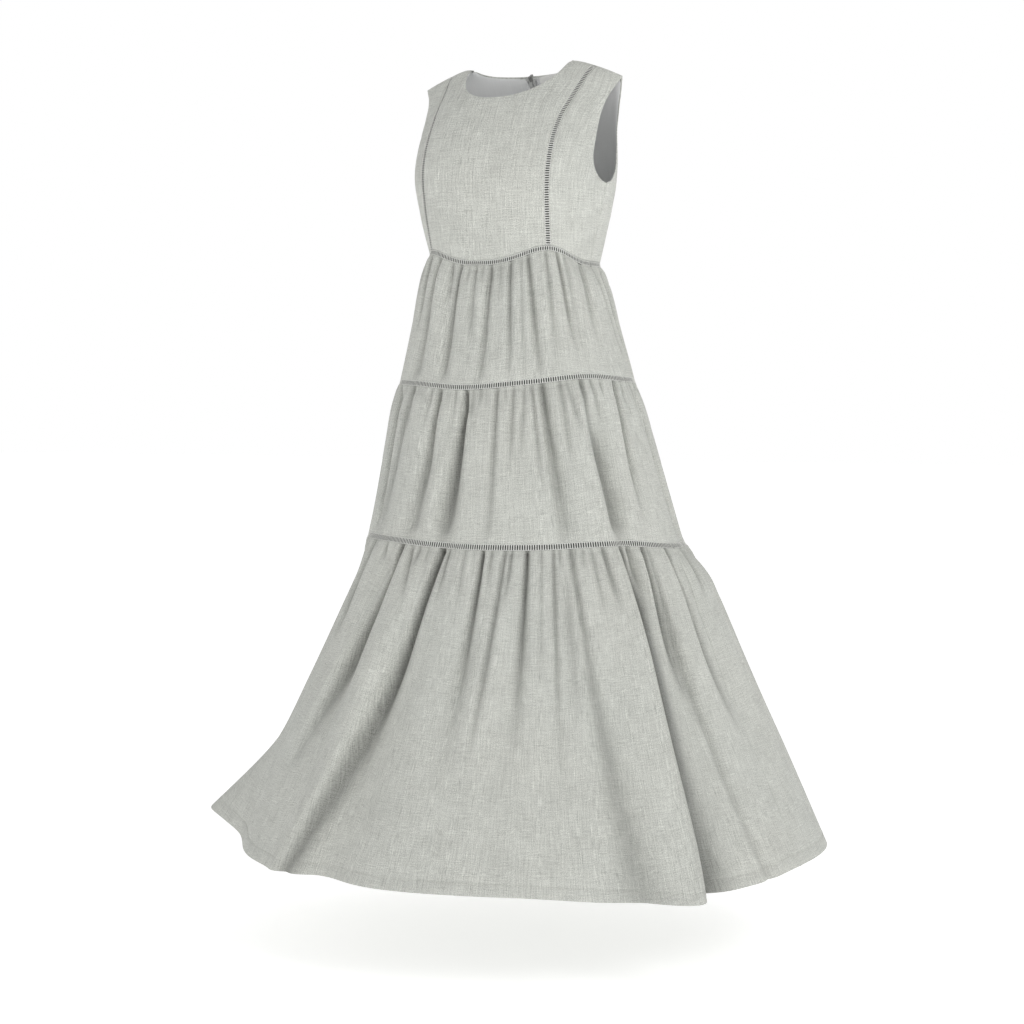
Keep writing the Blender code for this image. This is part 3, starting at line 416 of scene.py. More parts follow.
# %% Turn a grid of points into a piece
dress_parts = bpy.data.collections.new("dress")
bpy.context.scene.collection.children.link(dress_parts)
print("pieces go into the collection", dress_parts.name)


def faces_of(rows, columns, start=0):
    """The faces of a grid of points."""
    r, c = np.meshgrid(np.arange(rows - 1), np.arange(columns - 1), indexing="ij")
    corner = (r * columns + c).ravel() + start
    return np.stack((corner, corner + columns, corner + columns + 1, corner + 1), -1)


def piece_from(name, points, faces, places, node, material, body="dress", painted_shade=None):
    """A smooth mesh with a map of the cloth's own lengths, that stands for a solid piece."""
    mesh = bpy.data.meshes.new(name)
    mesh.from_pydata(points.reshape(-1, 3), [], faces.tolist())
    layer = mesh.uv_layers.new(name="cloth")
    corners = np.empty(len(mesh.loops), np.int32)
    mesh.loops.foreach_get("vertex_index", corners)
    layer.data.foreach_set("uv", places.reshape(-1, 2)[corners].astype(np.float32).ravel())
    if painted_shade is not None:
        kept = mesh.attributes.new("painted_shade", "FLOAT", "POINT")
        kept.data.foreach_set("value", painted_shade.astype(np.float32).ravel())
    mesh.shade_smooth()
    mesh.materials.append(material)
    piece = bpy.data.objects.new(f"{name}_woven" if node else name, mesh)
    dress_parts.objects.link(piece)
    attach(piece, body)
    if node:
        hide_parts(node)
    return piece


def cloth_piece(name, points, places, material, thick=CLOTH_THICK, painted_shade=None):
    """A panel with its thickness inwards, which leaves its face where the points are."""
    rows, columns = points.shape[:2]
    faces = faces_of(rows, columns)
    piece = piece_from(name, points, faces, places, name, material, painted_shade=painted_shade)
    shell = piece.modifiers.new("thickness", "SOLIDIFY")
    shell.thickness, shell.offset, shell.use_even_offset = thick, -1, False
    triangles = 4 * (rows - 1) * (columns - 1)
    print(name, "has", rows, "rows and", columns, "columns, about", triangles, "triangles")
    return piece


# %% [markdown]
# ## Cloudy linen
#
# The linen is a mixture of pale and grey threads. From close by, single threads are lighter or darker
# for a centimetre or two both ways, and from a distance the cloth is softly mottled. All the woven
# pieces share one group of nodes for their threads, and another for the mottling. The thread group puts
# out a shade to multiply the colour by and a height for the bump.

# %% Build the shared groups
class Wiring:
    """Short words for adding nodes to a tree and joining them."""

    def __init__(self, tree):
        self.tree = tree

    def add(self, kind, inputs=(), **settings):
        node = self.tree.nodes.new(kind)
        for name, value in settings.items():
            setattr(node, name, value)
        for key, value in dict(inputs).items():
            self.put(node.inputs[key], value)
        return node

    def put(self, socket, value):
        if isinstance(value, bpy.types.NodeSocket):
            self.tree.links.new(value, socket)
        else:
            socket.default_value = value

    def math(self, operation, a, b=0.0, c=0.0):
        return self.add("ShaderNodeMath", {0: a, 1: b, 2: c}, operation=operation).outputs[0]

    def noise(self, place, scale, detail=2.0, roughness=0.5):
        node = self.add("ShaderNodeTexNoise", {"Vector": place, "Scale": scale, "Detail": detail,
                                               "Roughness": roughness})
        return node.outputs["Fac"]

    def joined(self, x, y, z=0.0):
        return self.add("ShaderNodeCombineXYZ", {0: x, 1: y, 2: z}).outputs[0]

    def mixed(self, share, first, second):
        """A colour between two others. Sockets 6, 7 and 2 are the ones that this node uses for colours."""
        mix = self.add("ShaderNodeMix", data_type="RGBA")
        for number, value in ((0, share), (6, first), (7, second)):
            self.put(mix.inputs[number], value)
        return mix.outputs[2]

    def bump(self, height, distance):
        return self.add("ShaderNodeBump", {"Height": height, "Distance": distance}).outputs["Normal"]


def new_group(name, inputs, outputs):
    tree = bpy.data.node_groups.new(name, "ShaderNodeTree")
    for label, kind, value in inputs:
        socket = tree.interface.new_socket(label, in_out="INPUT", socket_type=kind)
        if value is not None:
            socket.default_value = value
    for label, kind in outputs:
        tree.interface.new_socket(label, in_out="OUTPUT", socket_type=kind)
    wiring = Wiring(tree)
    return tree, wiring, wiring.add("NodeGroupInput").outputs, wiring.add("NodeGroupOutput").inputs


FLOAT, VECTOR = "NodeSocketFloat", "NodeSocketVector"
SLUB_SHIFT = 14.0         # how far apart neighbouring threads may begin their slubs
SPECKS_PER_METRE = 640.0
WARP_SHARE, WEFT_SHARE = 1.20, 0.80       # the warp's streaks are the stronger
THREAD_WANDER = 9.0       # how far the slubs push the threads out of line


def build_threads():
    """Plain weave: warp threads down the cloth and weft threads across, each with slubs of its own."""
    tree, w, given, result = new_group(
        "woven threads",
        [("Lengths", VECTOR, None), ("Threads per metre", FLOAT, 1100.0), ("Streak width", FLOAT, 620.0),
         ("Streak length", FLOAT, 46.0), ("Streaks", FLOAT, 0.16), ("Speckle", FLOAT, 0.06)],
        [("Shade", FLOAT), ("Height", FLOAT)])
    split = w.add("ShaderNodeSeparateXYZ", {0: given["Lengths"]})
    u, v = split.outputs[0], split.outputs[1]
    wide, long = given["Streak width"], given["Streak length"]

    def streaks(across, along, seed):
        """Each thread's slubs begin at places of their own."""
        threads = w.math("MULTIPLY", across, wide)
        start = w.noise(w.joined(w.math("MULTIPLY", threads, 0.7), seed), 1.0, 0.0)
        slubs = w.math("MULTIPLY_ADD", start, SLUB_SHIFT, w.math("MULTIPLY", along, long))
        return w.noise(w.joined(threads, slubs, seed), 1.0, 1.0)

    warp, weft = streaks(u, v, 3.0), streaks(v, u, 7.0)
    both = w.math("MULTIPLY_ADD", weft, WEFT_SHARE, w.math("MULTIPLY_ADD", warp, WARP_SHARE, -1.0))
    specks = (w.math("MULTIPLY", along, SPECKS_PER_METRE) for along in (u, v))
    fine = w.noise(w.joined(*specks), 1.0, 3.0, 0.75)
    speckle = w.math("MULTIPLY", w.math("SUBTRACT", fine, 0.5), given["Speckle"])
    shade = w.math("MULTIPLY_ADD", both, given["Streaks"], w.math("ADD", speckle, 1.0))
    turn = w.math("MULTIPLY", given["Threads per metre"], math.pi)
    across = w.math("SINE", w.math("MULTIPLY_ADD", u, turn, w.math("MULTIPLY", warp, THREAD_WANDER)))
    down = w.math("SINE", w.math("MULTIPLY_ADD", v, turn, w.math("MULTIPLY", weft, THREAD_WANDER)))
    over = w.math("GREATER_THAN", w.math("MULTIPLY", across, down), 0.0)
    warp_height, weft_height = w.math("ABSOLUTE", across), w.math("ABSOLUTE", down)
    step = w.math("SUBTRACT", warp_height, weft_height)
    height = w.math("MULTIPLY_ADD", step, over, weft_height)
    w.put(result["Height"], w.math("MULTIPLY_ADD", both, 0.9, height))
    w.put(result["Shade"], shade)
    return tree


def build_mottling():
    """Soft clouds, at two sizes, over the whole dress."""
    tree, w, given, result = new_group(
        "soft mottling",
        [("Place", VECTOR, None), ("Clouds per metre", FLOAT, 22.0), ("Amount", FLOAT, 0.06)],
        [("Shade", FLOAT), ("Warmth", FLOAT)])
    clouds = w.noise(given["Place"], given["Clouds per metre"], 3.0, 0.6)
    slow = w.noise(given["Place"], w.math("MULTIPLY", given["Clouds per metre"], 0.22), 1.0)
    w.put(result["Shade"], w.math("MULTIPLY_ADD", w.math("SUBTRACT", clouds, 0.5), given["Amount"], 1.0))
    w.put(result["Warmth"], slow)
    return tree


threads, mottling = build_threads(), build_mottling()
print("groups:", threads.name, "and", mottling.name)

# %% [markdown]
# ## The materials
#
# Each material keeps its own shader and takes shades and heights from the groups. Linen is matt, with a
# faint fuzz that catches light at grazing angles, and a sheen does that. The lining is smoother and
# cooler. The trim is thread of the linen's colour, the ribbon is paler, with a gloss, and the slider is
# lacquered metal.
#
# Deep in a narrow crease the folded cloth lies on itself and hardly any light comes out again. The skin
# here has no such overlap, so its pieces carry a number for how deep in a crease each point lies, and the
# material darkens its colour by it: painted shade. The trim's bars get the same painted shade on their
# lower faces. On a piece without that number it counts as nothing.

# %% Make the woven materials
def new_material(name, **sockets):
    material = bpy.data.materials.new(name)
    material.use_nodes = True
    shader = material.node_tree.nodes["Principled BSDF"]
    for label, value in sockets.items():
        shader.inputs[label.replace("_", " ")].default_value = value
    return material, Wiring(material.node_tree), shader


# painted shade: how much the colour is darkened in creases and under the trim's bars
CREASE_SHADE = 0.42       # how much darker the cloth is where it is tucked in


def woven(name, pale, deep, roughness, weave, clouds, bump, **sockets):
    """A cloth between two colours. weave and clouds hold the groups' own inputs."""
    material, w, shader = new_material(name, **sockets)
    lengths = w.add("ShaderNodeUVMap", uv_map="cloth").outputs[0]
    place = w.add("ShaderNodeTexCoord").outputs["Object"]
    thread = w.add("ShaderNodeGroup", {"Lengths": lengths, **weave}, node_tree=threads).outputs
    cloud = w.add("ShaderNodeGroup", {"Place": place, **clouds}, node_tree=mottling).outputs
    tint = w.mixed(cloud["Warmth"], pale, deep)
    # painted shade: the colour is darkened where a point lies deep in a crease or on a trim bar's lower face
    painted_shade = w.add("ShaderNodeAttribute", attribute_name="painted_shade").outputs["Fac"]
    painted_darkening = w.math("DIVIDE", 1.0, w.math("MULTIPLY_ADD", painted_shade, CREASE_SHADE, 1.0))
    shade = w.math("MULTIPLY", w.math("MULTIPLY", thread["Shade"], cloud["Shade"]), painted_darkening)
    colour = w.add("ShaderNodeVectorMath", {0: tint, 1: w.joined(shade, shade, shade)},
                   operation="MULTIPLY").outputs[0]
    w.put(shader.inputs["Base Color"], colour)
    w.put(shader.inputs["Roughness"], w.math("MULTIPLY_ADD", thread["Shade"], -0.25, roughness + 0.25))
    w.put(shader.inputs["Normal"], w.bump(thread["Height"], bump))
    return material


linen = woven("linen", (0.590, 0.595, 0.550, 1), (0.570, 0.585, 0.545, 1), 0.88,
              {"Streaks": 0.82, "Speckle": 1.80}, {"Clouds per metre": 22.0, "Amount": 0.22}, 0.00012,
              Sheen_Weight=0.12, Sheen_Roughness=0.5, Specular_IOR_Level=0.25)
lining = woven("lining satin", (0.770, 0.775, 0.772, 1), (0.745, 0.752, 0.750, 1), 0.50,
               {"Threads per metre": 2600.0, "Streaks": 0.10, "Speckle": 0.04},
               {"Clouds per metre": 14.0, "Amount": 0.10}, 0.00005, Specular_IOR_Level=0.4)
# a dark net that stands in for the shade inside the dress: a painted shadow
painted_shadow_net = woven("painted shadow net", (0.085, 0.085, 0.083, 1), (0.070, 0.070, 0.070, 1), 0.95,
                    {"Threads per metre": 2400.0, "Streaks": 0.10, "Speckle": 0.10},
                    {"Clouds per metre": 60.0, "Amount": 0.10}, 0.00010, Specular_IOR_Level=0.15)
trim_thread = woven("trim thread", (0.770, 0.775, 0.735, 1), (0.750, 0.760, 0.720, 1), 0.85,
                    {"Threads per metre": 2400.0, "Streaks": 0.20, "Speckle": 0.16},
                    {"Clouds per metre": 60.0, "Amount": 0.12}, 0.00015, Specular_IOR_Level=0.25)
zip_cloth = woven("zip tape", (0.600, 0.605, 0.590, 1), (0.575, 0.580, 0.570, 1), 0.75,
                  {"Threads per metre": 1900.0, "Streaks": 0.12, "Speckle": 0.08},
                  {"Clouds per metre": 40.0, "Amount": 0.06}, 0.00012)
ribbon = woven("label ribbon", (0.940, 0.935, 0.905, 1), (0.920, 0.915, 0.890, 1), 0.40,
               {"Threads per metre": 3200.0, "Streaks": 0.05, "Speckle": 0.02},
               {"Clouds per metre": 50.0, "Amount": 0.04}, 0.00002, Sheen_Weight=0.25, Sheen_Roughness=0.4)
print("woven materials:", [m.name for m in (linen, lining, trim_thread, painted_shadow_net, zip_cloth, ribbon)])

# %% Make the lacquered metal and the coil's nylon
def lacquer(name, pale, worn, metallic, roughness):
    """Small scratches run through the lacquer, and its high places are worn brighter."""
    material, w, shader = new_material(name, Metallic=metallic, Coat_Weight=0.3, Coat_Roughness=0.2)
    place = w.add("ShaderNodeTexCoord").outputs["Object"]
    split = w.add("ShaderNodeSeparateXYZ", {0: place}).outputs
    drawn = w.joined(w.math("MULTIPLY", split[0], 9.0), split[1], w.math("MULTIPLY", split[2], 0.6))
    scratch = w.noise(drawn, 1400.0, 3.0, 0.65)
    wear = w.noise(place, 420.0, 4.0, 0.6)
    mask = w.math("SMOOTH_MIN", w.math("MULTIPLY", wear, scratch), 0.5, 0.1)
    w.put(shader.inputs["Base Color"], w.mixed(mask, pale, worn))
    w.put(shader.inputs["Roughness"], w.math("MULTIPLY_ADD", scratch, 0.25, roughness - 0.1))
    w.put(shader.inputs["Normal"], w.bump(scratch, 0.00003))
    return material


zip_metal = lacquer("lacquered zip metal", (0.24, 0.24, 0.235, 1), (0.52, 0.52, 0.50, 1), 0.80, 0.38)
coil_nylon = lacquer("zip coil nylon", (0.46, 0.465, 0.455, 1), (0.54, 0.54, 0.53, 1), 0.0, 0.45)

# %% [markdown]
# ## The slider and its pull tab
#
# These are small castings, tumbled until no edge on them is sharp, and then lacquered. Their forms exist
# already in the plain solid, so a copy of each gets its longer edges rounded, which is quicker and truer
# than modelling them again. The slider's foot is drawn in, because a slider is narrow where the closed
# coil leaves it. The tab rides on a body of its own.

# %% Ease the edges of the slider and its pull tab
SHARP_ANGLE = math.radians(40)            # edges that turn by more than this are rounded or stay crisp
SLIDER_RADIUS, SLIDER_SHORTEST = 0.00030, 0.0011
TAB_RADIUS, TAB_SHORTEST = 0.00015, 0.0003
SLIDER_FOOT_HEIGHT, SLIDER_FOOT_WIDTH = 0.0022, 0.62


def eased(node, body, radius, shortest, foot=-1.0, foot_width=1.0):
    """A copy with edges longer than shortest rounded, drawn in to foot_width below the height foot."""
    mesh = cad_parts[node].data.copy()
    form = bmesh.new()
    form.from_mesh(mesh)
    bmesh.ops.remove_doubles(form, verts=form.verts, dist=1e-6)
    bmesh.ops.dissolve_limit(form, angle_limit=math.radians(1), verts=form.verts, edges=form.edges)
    for corner in form.verts:
        if corner.co.z < foot:
            corner.co.x *= foot_width
    long_edges = [edge for edge in form.edges
                  if edge.calc_length() > shortest and edge.calc_face_angle(0) > SHARP_ANGLE]
    bmesh.ops.bevel(form, geom=long_edges, offset=radius, segments=3, profile=0.5, affect="EDGES")
    form.to_mesh(mesh)
    form.free()
    if "custom_normal" in mesh.attributes:
        mesh.attributes.remove(mesh.attributes["custom_normal"])
    mesh.shade_smooth()
    mesh.set_sharp_from_angle(angle=SHARP_ANGLE)
    mesh.materials.clear()
    mesh.materials.append(zip_metal)
    piece = bpy.data.objects.new(f"{node}_cast", mesh)
    dress_parts.objects.link(piece)
    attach(piece, body)
    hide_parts(node)
    print(node, "has", len(long_edges), "edges rounded to", radius / MM, "mm")


slider_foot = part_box("zip_slider")[0].z
eased("zip_slider", "dress", SLIDER_RADIUS, SLIDER_SHORTEST,
      slider_foot + SLIDER_FOOT_HEIGHT, SLIDER_FOOT_WIDTH)
eased("zip_pull_tab", "pull_tab", TAB_RADIUS, TAB_SHORTEST)

# %% [markdown]
# ## Gathers
#
# Each tier is cut much wider than the seam above it and gathered onto it. Right below the seam the spare
# width stands in small sharp creases, a little over a centimetre apart and never even. Most die out
# within a few centimetres, some run on, and a few become the long folds that reach the next seam. The
# large folds are in the table above. The long creases below are placed one by one, and the small ones
# come from random values on a grid that closes round the dress, with a crease wherever they pass zero.

# %% List the long creases
# A crease starts just below its tier's upper seam at azimuth, and after a distance of reach, in metres,
# it would be at foot_azimuth. depth, width and spread are in millimetres: its trough, and its half width
# at the seam and where it ends. start is how far below the seam it begins to show, in metres, and skew
# makes its side towards greater azimuths so many times as wide. shade is how much painted shade darkens
# its colour, which otherwise follows from its depth and width.
Crease = namedtuple(
    "Crease", "azimuth foot_azimuth reach depth width spread start skew shade", defaults=(0, 1, 0))
CREASES = (
    (   # first tier, from the wearer's right of the front to their left, and round the back
        Crease(-31.5, -33.0, 0.3, 6.0, 5.5, 19.0, 0, 1, 0.7), Crease(-19.5, -18.5, 0.085, 3.2, 3.6, 6.0),
        Crease(-13.0, -15.0, 0.3, 5.5, 3.8, 12.0), Crease(-6.8, -6.5, 0.035, 1.6, 3.0, 4.0),
        Crease(-2.5, -0.5, 0.15, 3.6, 3.8, 7.0), Crease(1.8, 2.0, 0.03, 2.4, 3.4, 4.0),
        Crease(6.7, 6.5, 0.3, 5.0, 4.0, 8.0), Crease(12.5, 14.0, 0.06, 2.0, 3.6, 5.0),
        Crease(18.8, 21.5, 0.22, 4.8, 3.3, 6.0), Crease(25.5, 29.0, 0.25, 1.6, 3.4, 5.0),
        Crease(30.3, 38.0, 0.24, 5.2, 3.8, 7.0), Crease(43.3, 45.5, 0.2, 3.6, 4.0, 8.0),
        Crease(52.5, 58.0, 0.17, 4.8, 3.8, 6.0), Crease(59.0, 62.0, 0.18, 3.5, 6.0, 13.0),
        Crease(76.5, 75.0, 0.14, 4.0, 5.5, 8.0), Crease(90.0, 100.0, 0.18, 3.6, 4.0, 6.0),
        Crease(107.0, 109.0, 0.26, 5.6, 4.0, 9.0), Crease(115.5, 116.0, 0.05, 2.4, 3.2, 4.5),
        Crease(122.0, 123.0, 0.12, 3.8, 3.6, 6.0), Crease(133.0, 136.0, 0.28, 5.8, 4.2, 9.0),
        Crease(141.0, 141.0, 0.04, 2.0, 3.2, 4.0), Crease(149.0, 150.0, 0.09, 3.4, 3.8, 6.0),
        Crease(157.0, 159.0, 0.24, 4.8, 3.6, 7.0), Crease(168.5, 168.0, 0.06, 2.6, 3.4, 4.5),
        Crease(-173.0, -174.0, 0.1, 3.2, 3.6, 6.0), Crease(-166.0, -166.0, 0.04, 2.0, 3.0, 4.0),
        Crease(-155.0, -158.0, 0.28, 6.0, 4.2, 9.0), Crease(-146.0, -146.0, 0.07, 2.8, 3.4, 5.0),
        Crease(-135.0, -137.0, 0.18, 4.4, 3.8, 7.0), Crease(-124.5, -127.0, 0.3, 5.4, 4.0, 10.0),
        Crease(-114.0, -114.0, 0.05, 2.4, 3.2, 4.5), Crease(-104.0, -103.0, 0.15, 4.2, 3.8, 7.0),
        Crease(-93.0, -91.0, 0.26, 5.2, 4.0, 8.0), Crease(-82.0, -82.0, 0.06, 2.6, 3.4, 5.0),
        Crease(-73.0, -71.0, 0.2, 4.8, 4.2, 8.0), Crease(-61.0, -59.0, 0.12, 4.0, 3.8, 6.0),
        Crease(-50.0, -49.0, 0.07, 2.8, 3.6, 5.0), Crease(-42.0, -41.0, 0.14, 3.6, 3.8, 6.0),
    ),
    (   # second tier, from the wearer's right of the front to their left, and round the back
        Crease(-48.0, -44.0, 0.3, 6.5, 4.5, 12.0), Crease(-32.0, -31.0, 0.09, 3.0, 4.0, 9.0),
        Crease(-33.0, -42.5, 0.3, 5.0, 8.0, 24.0, 0, 1, 1.0), Crease(-17.8, -20.0, 0.08, 2.2, 3.2, 4.5),
        Crease(-13.8, -21.2, 0.34, 8.0, 4.4, 24.0, 0, 1, 1.1), Crease(-4.2, -5.0, 0.08, 2.4, 3.2, 4.5),
        Crease(0.8, -7.3, 0.32, 11.0, 4.4, 19.0, 0, 1, 2.2), Crease(4.6, 3.0, 0.05, 5.0, 7.0, 8.0),
        Crease(8.0, 8.0, 0.03, 4.0, 6.0, 6.0), Crease(11.0, 11.0, 0.035, 1.3, 2.8, 3.5),
        Crease(16.0, 12.0, 0.3, 4.6, 4.0, 8.0), Crease(19.8, 19.8, 0.03, 1.6, 3.0, 3.5),
        Crease(23.6, 20.5, 0.13, 3.3, 3.1, 6.0), Crease(28.7, 25.5, 0.12, 3.2, 4.0, 6.0),
        Crease(32.0, 34.0, 0.2, 4.0, 3.8, 7.0), Crease(37.0, 42.3, 0.34, 8.5, 6.0, 19.0),
        Crease(45.8, 46.5, 0.15, 4.0, 5.0, 7.0), Crease(49.0, 52.5, 0.09, 3.2, 4.5, 5.5),
        Crease(56.5, 57.5, 0.2, 7.5, 5.0, 12.0), Crease(62.3, 65.0, 0.07, 3.4, 3.5, 6.0),
        Crease(68.2, 68.0, 0.03, 1.7, 3.0, 3.5), Crease(79.0, 75.5, 0.24, 7.0, 4.2, 9.0),
        Crease(57.0, 64.0, 0.40, 12.5, 4.5, 14.0, 0.03, 2.0, 1.6), Crease(84.0, 83.5, 0.04, 1.9, 3.8, 4.5),
        Crease(93.0, 94.0, 0.1, 3.6, 3.8, 6.0), Crease(101.0, 104.0, 0.32, 8.5, 4.6, 12.0),
        Crease(109.0, 109.0, 0.04, 2.2, 3.2, 4.0), Crease(116.0, 115.0, 0.14, 4.0, 3.8, 7.0),
        Crease(124.0, 127.0, 0.28, 6.5, 4.4, 10.0), Crease(132.5, 132.5, 0.05, 2.6, 3.4, 4.5),
        Crease(139.0, 138.0, 0.09, 3.2, 3.6, 6.0), Crease(147.0, 143.0, 0.33, 10.0, 4.8, 13.0),
        Crease(154.0, 154.0, 0.04, 2.0, 3.2, 4.0), Crease(161.0, 163.0, 0.16, 4.4, 3.8, 7.0),
        Crease(171.0, 173.5, 0.3, 6.0, 4.2, 10.0), Crease(178.5, 178.5, 0.05, 2.6, 3.4, 4.5),
        Crease(-173.5, -174.0, 0.08, 3.2, 3.6, 5.5), Crease(-166.0, -170.0, 0.32, 8.0, 4.4, 12.0),
        Crease(-157.0, -157.0, 0.05, 2.4, 3.4, 4.5), Crease(-149.0, -147.0, 0.13, 4.2, 3.8, 6.5),
        Crease(-140.5, -136.0, 0.34, 10.5, 4.8, 13.0), Crease(-131.0, -131.0, 0.04, 2.2, 3.2, 4.0),
        Crease(-125.0, -126.0, 0.1, 3.4, 3.8, 6.0), Crease(-115.0, -117.0, 0.28, 6.0, 4.2, 10.0),
        Crease(-107.0, -107.0, 0.05, 2.6, 3.4, 4.5), Crease(-99.0, -98.0, 0.12, 3.8, 3.8, 6.0),
        Crease(-90.5, -88.0, 0.3, 6.8, 4.4, 10.0), Crease(-81.0, -81.0, 0.05, 2.4, 3.2, 4.5),
        Crease(-73.0, -76.0, 0.32, 8.5, 4.6, 12.0), Crease(-63.0, -62.0, 0.09, 3.2, 3.6, 6.0),
        Crease(-56.0, -56.0, 0.05, 2.8, 3.4, 4.5),
    ),
    (   # third tier, from the wearer's right of the front to their left, and round the back
        Crease(-52.0, -48.0, 0.1, 5.0, 6.0, 9.0), Crease(-41.0, -38.5, 0.17, 9.0, 6.0, 11.0, 0, 1, 1.5),
        Crease(-31.0, -30.5, 0.04, 2.5, 4.0, 5.0), Crease(-22.3, -32.0, 0.40, 13.0, 3.8, 14.0, 0, 2.2, 2.0),
        Crease(-17.0, -12.5, 0.1, 5.0, 6.0, 8.0), Crease(-13.0, -13.0, 0.035, 3.4, 3.6, 4.0),
        Crease(-9.3, -9.0, 0.035, 1.4, 3.0, 3.5), Crease(-4.5, -24.5, 0.80, 15.0, 4.0, 15.0, 0, 2.3, 2.4),
        Crease(-0.8, -1.2, 0.085, 4.8, 3.8, 5.5), Crease(5.4, 6.2, 0.12, 2.6, 3.6, 6.0),
        Crease(11.8, 10.5, 0.34, 9.5, 3.8, 15.0), Crease(15.0, 14.5, 0.06, 3.4, 3.8, 6.0),
        Crease(19.5, 15.5, 0.36, 6.4, 5.0, 7.0), Crease(21.9, 20.5, 0.09, 4.6, 3.4, 5.5),
        Crease(27.0, 25.5, 0.32, 8.6, 4.0, 10.0), Crease(31.8, 31.6, 0.24, 2.3, 4.0, 6.0),
        Crease(35.9, 36.0, 0.36, 4.2, 3.6, 7.0), Crease(38.0, 38.0, 0.035, 2.5, 3.0, 3.5),
        Crease(39.5, 41.0, 0.30, 3.0, 10.0, 16.0, 0.02, 1, 0.7),
        Crease(42.0, 60.0, 1.10, 6.0, 5.0, 70.0, 0, 1, 0.9), Crease(46.0, 46.0, 0.04, 2.2, 3.6, 4.5),
        Crease(49.2, 51.0, 0.12, 2.8, 3.6, 6.0), Crease(53.2, 56.0, 0.11, 6.0, 4.2, 8.0),
        Crease(60.8, 64.6, 0.18, 9.0, 3.8, 9.0, 0, 1.4, 2.6),
        Crease(62.0, 65.6, 0.95, 20.0, 6.0, 13.0, 0.01, 2.6, 1.2),
        Crease(63.4, 66.0, 0.95, 4.0, 10.0, 38.0, 0.02, 1.7, 3.4), Crease(64.8, 66.0, 0.09, 9.0, 8.0, 10.0),
        Crease(71.3, 75.0, 0.28, 11.0, 4.5, 13.0, 0, 1, 2.0), Crease(73.5, 82.0, 0.8, 4.5, 5.0, 13.0),
        Crease(83.9, 87.0, 0.3, 11.0, 4.5, 15.0, 0, 1, 2.2), Crease(95.7, 94.0, 0.09, 4.5, 4.0, 5.5),
        Crease(103.0, 106.0, 0.2, 6.5, 4.2, 9.0), Crease(111.5, 119.0, 0.4, 9.0, 4.8, 12.0),
        Crease(120.5, 121.0, 0.06, 3.6, 3.6, 5.0), Crease(128.0, 131.0, 0.16, 6.0, 4.4, 8.0),
        Crease(134.0, 134.0, 0.04, 2.4, 3.2, 4.0), Crease(139.5, 151.0, 0.75, 13.0, 5.0, 14.0),
        Crease(148.0, 148.0, 0.07, 4.0, 3.8, 6.0), Crease(153.5, 154.0, 0.05, 2.8, 3.4, 4.5),
        Crease(160.0, 164.0, 0.34, 8.5, 4.4, 11.0), Crease(167.5, 168.0, 0.08, 3.8, 3.8, 6.0),
        Crease(173.0, 173.0, 0.04, 2.6, 3.2, 4.5), Crease(179.0, 181.0, 0.24, 6.5, 4.2, 9.0),
        Crease(-172.5, -164.0, 0.7, 11.0, 4.8, 13.0), Crease(-166.0, -166.0, 0.06, 3.4, 3.6, 5.0),
        Crease(-157.0, -153.0, 0.3, 8.0, 4.4, 11.0), Crease(-149.5, -150.0, 0.09, 4.2, 4.0, 6.0),
        Crease(-142.0, -143.0, 0.14, 5.6, 4.2, 8.0), Crease(-131.5, -131.0, 0.8, 12.0, 5.0, 14.0),
        Crease(-136.5, -136.5, 0.04, 2.6, 3.2, 4.0), Crease(-124.0, -123.0, 0.08, 4.0, 3.8, 6.0),
        Crease(-116.5, -117.0, 0.18, 5.8, 4.2, 8.0), Crease(-108.0, -114.0, 0.42, 9.5, 4.8, 12.0),
        Crease(-100.0, -100.0, 0.05, 3.0, 3.4, 4.5), Crease(-93.0, -97.0, 0.24, 7.0, 4.4, 10.0),
        Crease(-84.5, -88.0, 0.45, 9.5, 4.8, 12.0), Crease(-77.0, -77.0, 0.07, 3.6, 3.6, 5.5),
        Crease(-69.0, -67.0, 0.2, 6.5, 4.4, 9.0), Crease(-60.0, -60.0, 0.06, 3.4, 3.6, 5.0),
    ),
)
print("long creases:", [len(tier) for tier in CREASES])

# %% Shape the creases and the small puckers
GIRTHS = (0.809, 1.130, 1.541, 3.101)     # of the dress at the waist, the two tier seams and the hem
LATTICE_ROWS = 64
SEAM_HELD, SEAM_FREE = 0.45, 0.55         # shares of a crease's depth that it has at the seam, and gains
SEAM_RUN = 0.008                          # metres below the seam where it has gained it
CREASE_HOLD, CREASE_FADE = 0.45, 0.65     # shares of its reach at full depth, and fading
START_RUN = 0.11                          # metres over which a crease that starts lower down appears
FULLNESS = 1.35                           # troughs come out this many times as deep as listed
BANK_HEIGHT, BANK_PLACE = 0.16, 1.9       # cloth pushed out of a trough stands beside it, in half widths
TROUGH_WIDTH, TROUGH_POWER = 0.80, 1.35   # a trough's section, in half widths, and how round its foot is
# the second pair shapes the painted shade across a crease
PAINTED_SHADE_WIDTH, PAINTED_SHADE_POWER = 0.70, 1.7        # the same for how tucked in its cloth is
NEXT_SEAM, NEXT_SEAM_RUN = 0.90, 0.09     # share of the tier's length where creases flatten again


def lattice(around, along, cells, seed):
    """Smooth random values from -1 to 1 on a grid that closes into a ring after so many cells."""
    values = np.random.default_rng(seed).uniform(-1, 1, (LATTICE_ROWS, cells))
    i, j = np.floor(along).astype(int), np.floor(around).astype(int)
    s, t = soft_step(along - i), soft_step(around - j)
    near, far = (values[(i + k) % LATTICE_ROWS, j % cells] * (1 - t)
                 + values[(i + k) % LATTICE_ROWS, (j + 1) % cells] * t for k in (0, 1))
    return near * (1 - s) + far * s


